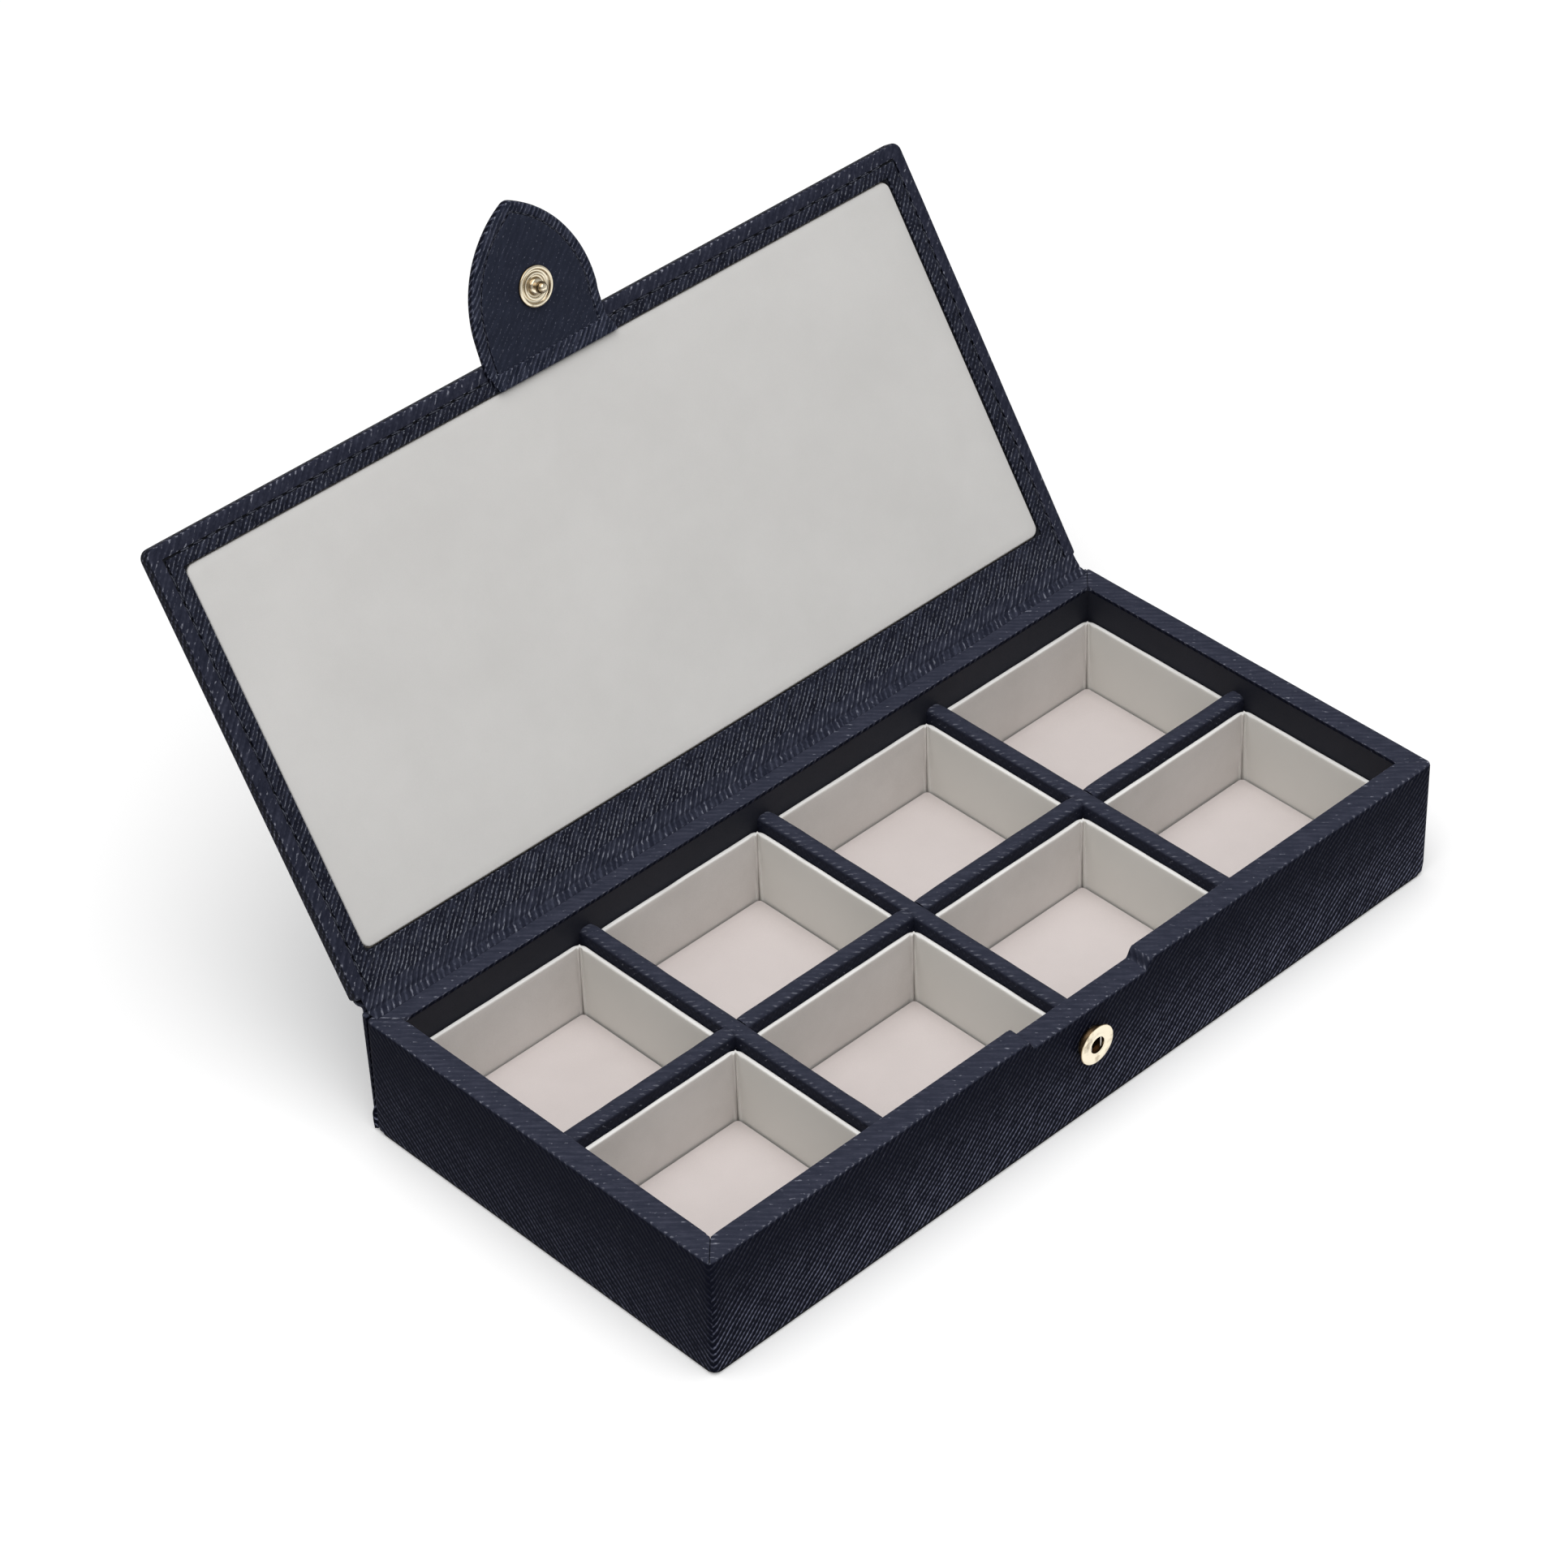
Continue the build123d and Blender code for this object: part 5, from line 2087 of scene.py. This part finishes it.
    def build_stitches(self) -> None:
        """Stitches of the tab's seam, from the fold on."""
        right = self.outline(self.seam_inset + self.seam_width / 2, self.fold_place + 0.5)
        matrices = []
        travelled, wanted = 0.0, self.stitch_pitch / 2
        for (x0, y0, turn), (x1, y1, _) in zip(right, right[1:]):
            step = math.hypot(x1 - x0, y1 - y0)
            while travelled + step >= wanted:
                share = (wanted - travelled) / step
                x, y = x0 + (x1 - x0) * share, y0 + (y1 - y0) * share
                for side, half_turn in ((-1, math.pi), (1, 0.0)):
                    place = Matrix.Translation((side * x - self.aside(y), y, -0.25))
                    heading = side * (turn + QUARTER_TURN) + half_turn
                    matrices.append(place @ Matrix.Rotation(heading, 4, "Z"))
                wanted += self.stitch_pitch
            travelled += step
        pattern = stitch_pattern(self.stitch_length, self.stitch_radius)
        stitches = Bench.copies(pattern, matrices, "tab_stitches")
        Bench.finish(stitches, self.finishes.thread, self.place, 60)
        stand_for(stitches, Slot.THREAD, Body.TAB, "tab_seam_thread")

    def build_stud(self) -> None:
        """Stud: dished flange with two rings, boss, neck and ball."""
        profile = [
            (4.6, 0.0), (4.85, 0.12), (4.85, 0.45), (4.7, 0.6), (4.3, 0.66), (4.05, 0.6), (3.9, 0.22),
            (3.6, 0.1), (3.35, 0.12), (3.2, 0.42), (2.9, 0.48), (2.65, 0.42), (2.5, 0.14), (2.2, 0.12),
            (2.0, 0.5), (1.75, 0.85), (1.4, 1.0), (1.1, 1.04), (0.95, 1.15), (0.95, 1.3),
        ]
        ball_radius, ball_height = 1.45, 2.2
        for index in range(9):
            turn = math.radians(-42 + index * 16)
            profile.append((ball_radius * math.cos(turn), ball_height + ball_radius * math.sin(turn)))
        stud = lathe("stud_skin", profile, 48)
        Bench.finish(stud, self.finishes.gold, self.place @ Matrix.Translation((0, self.stud_place, 0)), 50)
        stand_for(stud, Slot.GOLD, Body.TAB, "snap_stud")


def lathe(name: str, profile: Sequence[Pair], sides: int, hollow: bool = False) -> Piece:
    """Turn a profile about z by extruding and resizing a ring.

    Args:
        name: Name of the piece.
        profile: (radius, height) points from the foot to the top.
        sides: Number of sides.
        hollow: True where the profile comes back to its first point around a hole.

    Returns:
        The turned piece, closed.
    """
    Bench.clear()
    radius, height = profile[0]
    bpy.ops.mesh.primitive_circle_add(vertices=sides, radius=radius, location=(0, 0, height))
    piece = Bench.take(name)
    bpy.ops.mesh.select_all(action="SELECT")
    if not hollow:
        bpy.ops.mesh.edge_face_add()
        bpy.ops.mesh.select_all(action="SELECT")
    for next_radius, next_height in profile[1:]:
        bpy.ops.mesh.extrude_region_move(TRANSFORM_OT_translate={"value": (0, 0, next_height - height)})
        scale = next_radius / radius
        bpy.ops.transform.resize(value=(scale, scale, 1), center_override=(0, 0, next_height))
        radius, height = next_radius, next_height
    Bench.face_out(piece)
    return piece


@dataclass
class Socket:
    """The snap's socket on the front wall: flat ring and dark body."""

    finishes: Finishes
    hole: float = 2.1
    ring_height: float = 0.4

    def build(self) -> None:
        """Model and dress the socket."""
        low, high = node_box("socket_cap")
        centre = (low + high) / 2
        place = Matrix.Translation((centre.x, -PLAN.half_depth, centre.z))
        place = place @ Matrix.Rotation(QUARTER_TURN, 4, "X")
        front = -PLAN.half_depth - low.y
        back = front - self.ring_height
        ring = [
            (self.hole, front - 0.34), (self.hole, front - 0.06), (2.18, front), (2.6, front),
            (2.7, front - 0.05), (2.9, front - 0.05), (3.0, front), (4.75, front), (5.0, front - 0.08),
            (5.1, front - 0.22), (5.0, front - 0.38), (4.8, back), (2.3, back), (self.hole, front - 0.34),
        ]
        cap = lathe("socket_ring", ring, 64, hollow=True)
        Bench.finish(cap, self.finishes.gold, place, 30)
        stand_for(cap, Slot.GOLD, Body.TRAY, "socket_cap")
        wall = [
            (self.hole, 0.02), (3.6, 0.02), (3.85, 0.2), (3.9, 0.6), (3.75, 1.0), (3.8, back), (3.0, back),
            (3.0, 0.6), (self.hole, 0.6), (self.hole, 0.02),
        ]
        body = lathe("socket_cup", wall, 48, hollow=True)
        Bench.finish(body, self.finishes.bronze, place, 40)
        stand_for(body, Slot.BRONZE, Body.TRAY, "socket_body")


@dataclass
class Studio:
    """Plain pale floor, soft light and the camera at the photograph's angle; places in metres."""

    camera_place: Point = (-0.61563, -0.61630, 0.76898)
    azimuth: float = math.radians(-43.114)
    elevation: float = math.radians(38.993)
    roll: float = math.radians(-1.803)
    lens: float = 116.78
    sensor: float = 36.0
    clip: Pair = (0.01, 100.0)
    floor_size: float = 30.0
    floor_height: float = -0.0002
    floor_colour: Point = (0.93, 0.93, 0.93)
    floor_bounce: Point = (0.3, 0.3, 0.3)
    floor_lift: float = 0.14
    ambient: float = 0.48
    backdrop: float = 0.8
    lamp_place: Point = (-0.3, -0.3, 1.6)
    lamp_target: Point = (0.0, 0.0, 0.03)
    lamp_size: float = 1.8
    lamp_power: float = 24.0

    def build(self) -> None:
        """Set up floor, light and camera."""
        self.build_floor()
        self.build_world()
        self.build_lamp()
        self.build_camera()
        bpy.context.scene.view_settings.view_transform = "Standard"

    def build_floor(self) -> None:
        """Wide pale floor that looks white to the camera and keeps the shadow."""
        Bench.clear()
        bpy.ops.mesh.primitive_plane_add(size=self.floor_size, location=(0, 0, self.floor_height))
        floor = Bench.take("floor")
        Bench.clear()
        desk = Desk("pale_floor")
        tooth = desk.noise(desk.object_mm(), 0.02)
        path = desk.node("LightPath").outputs
        seen = desk.math(Sum.MAXIMUM, path["Is Camera Ray"], path["Is Transmission Ray"])
        seen = desk.math(Sum.MAXIMUM, seen, path["Is Glossy Ray"])
        pale = desk.mix(tooth, self.floor_colour, tuple(part * 1.02 for part in self.floor_colour))
        material = desk.close(
            Base_Color=desk.mix(seen, self.floor_bounce, pale),
            Roughness=0.9,
            Specular_IOR_Level=0.0,
            Emission_Color=(1.0, 1.0, 1.0),
            Emission_Strength=desk.times(seen, self.floor_lift),
        )
        floor.data.materials.append(material)

    def build_world(self) -> None:
        """Soft even light all round, and a pale backdrop that only the camera sees."""
        world = bpy.data.worlds.new("studio")
        bpy.context.scene.world = world
        world.use_nodes = True
        nodes, links = world.node_tree.nodes, world.node_tree.links
        nodes.clear()
        path, either, mix, output = (
            nodes.new("ShaderNode" + kind) for kind in ("LightPath", "Math", "MixShader", "OutputWorld")
        )
        either.operation = "MAXIMUM"
        links.new(path.outputs["Is Camera Ray"], either.inputs[0])
        links.new(path.outputs["Is Transmission Ray"], either.inputs[1])
        links.new(either.outputs[0], mix.inputs[0])
        for number, grey, strength in ((1, 1.0, self.ambient), (2, self.backdrop, 1.0)):
            light = nodes.new("ShaderNodeBackground")
            light.inputs["Color"].default_value = (grey, grey, grey, 1.0)
            light.inputs["Strength"].default_value = strength
            links.new(light.outputs[0], mix.inputs[number])
        links.new(mix.outputs[0], output.inputs["Surface"])

    def build_lamp(self) -> None:
        """Square soft lamp above the front left."""
        data = bpy.data.lights.new("key", "AREA")
        data.size = self.lamp_size
        data.energy = self.lamp_power
        lamp = bpy.data.objects.new("key", data)
        bpy.context.scene.collection.objects.link(lamp)
        lamp.location = self.lamp_place
        aim = Vector(self.lamp_target) - Vector(self.lamp_place)
        lamp.rotation_euler = aim.to_track_quat("-Z", "Y").to_euler()

    def build_camera(self) -> None:
        """Camera at the photograph's place, with its small roll."""
        data = bpy.data.cameras.new("camera")
        data.lens = self.lens
        data.sensor_width = self.sensor
        data.clip_start, data.clip_end = self.clip
        level, up = math.cos(self.elevation), math.sin(self.elevation)
        back = Vector((math.sin(self.azimuth) * level, -math.cos(self.azimuth) * level, up))
        right = (-back).cross(Vector((0, 0, 1))).normalized()
        up = right.cross(-back).normalized()
        turned_right = math.cos(self.roll) * right + math.sin(self.roll) * up
        turned_up = -math.sin(self.roll) * right + math.cos(self.roll) * up
        axes = Matrix((turned_right, turned_up, back)).transposed().to_4x4()
        camera = bpy.data.objects.new("camera", data)
        camera.matrix_world = Matrix.Translation(self.camera_place) @ axes
        bpy.context.scene.collection.objects.link(camera)
        bpy.context.scene.camera = camera


def main() -> None:
    """Build the looks of the whole box."""
    logging.basicConfig(level=logging.INFO, format="%(name)s: %(message)s")
    Studio().build()
    finishes = Finishes()
    lid = Lid(finishes)
    for sub_assembly in (Tray(finishes), Socket(finishes), Hinge(finishes), lid, Tab(finishes, lid)):
        LOG.info("building %s", type(sub_assembly).__name__)
        sub_assembly.build()
    Bench.clear()


if __name__ == "__main__":
    main()
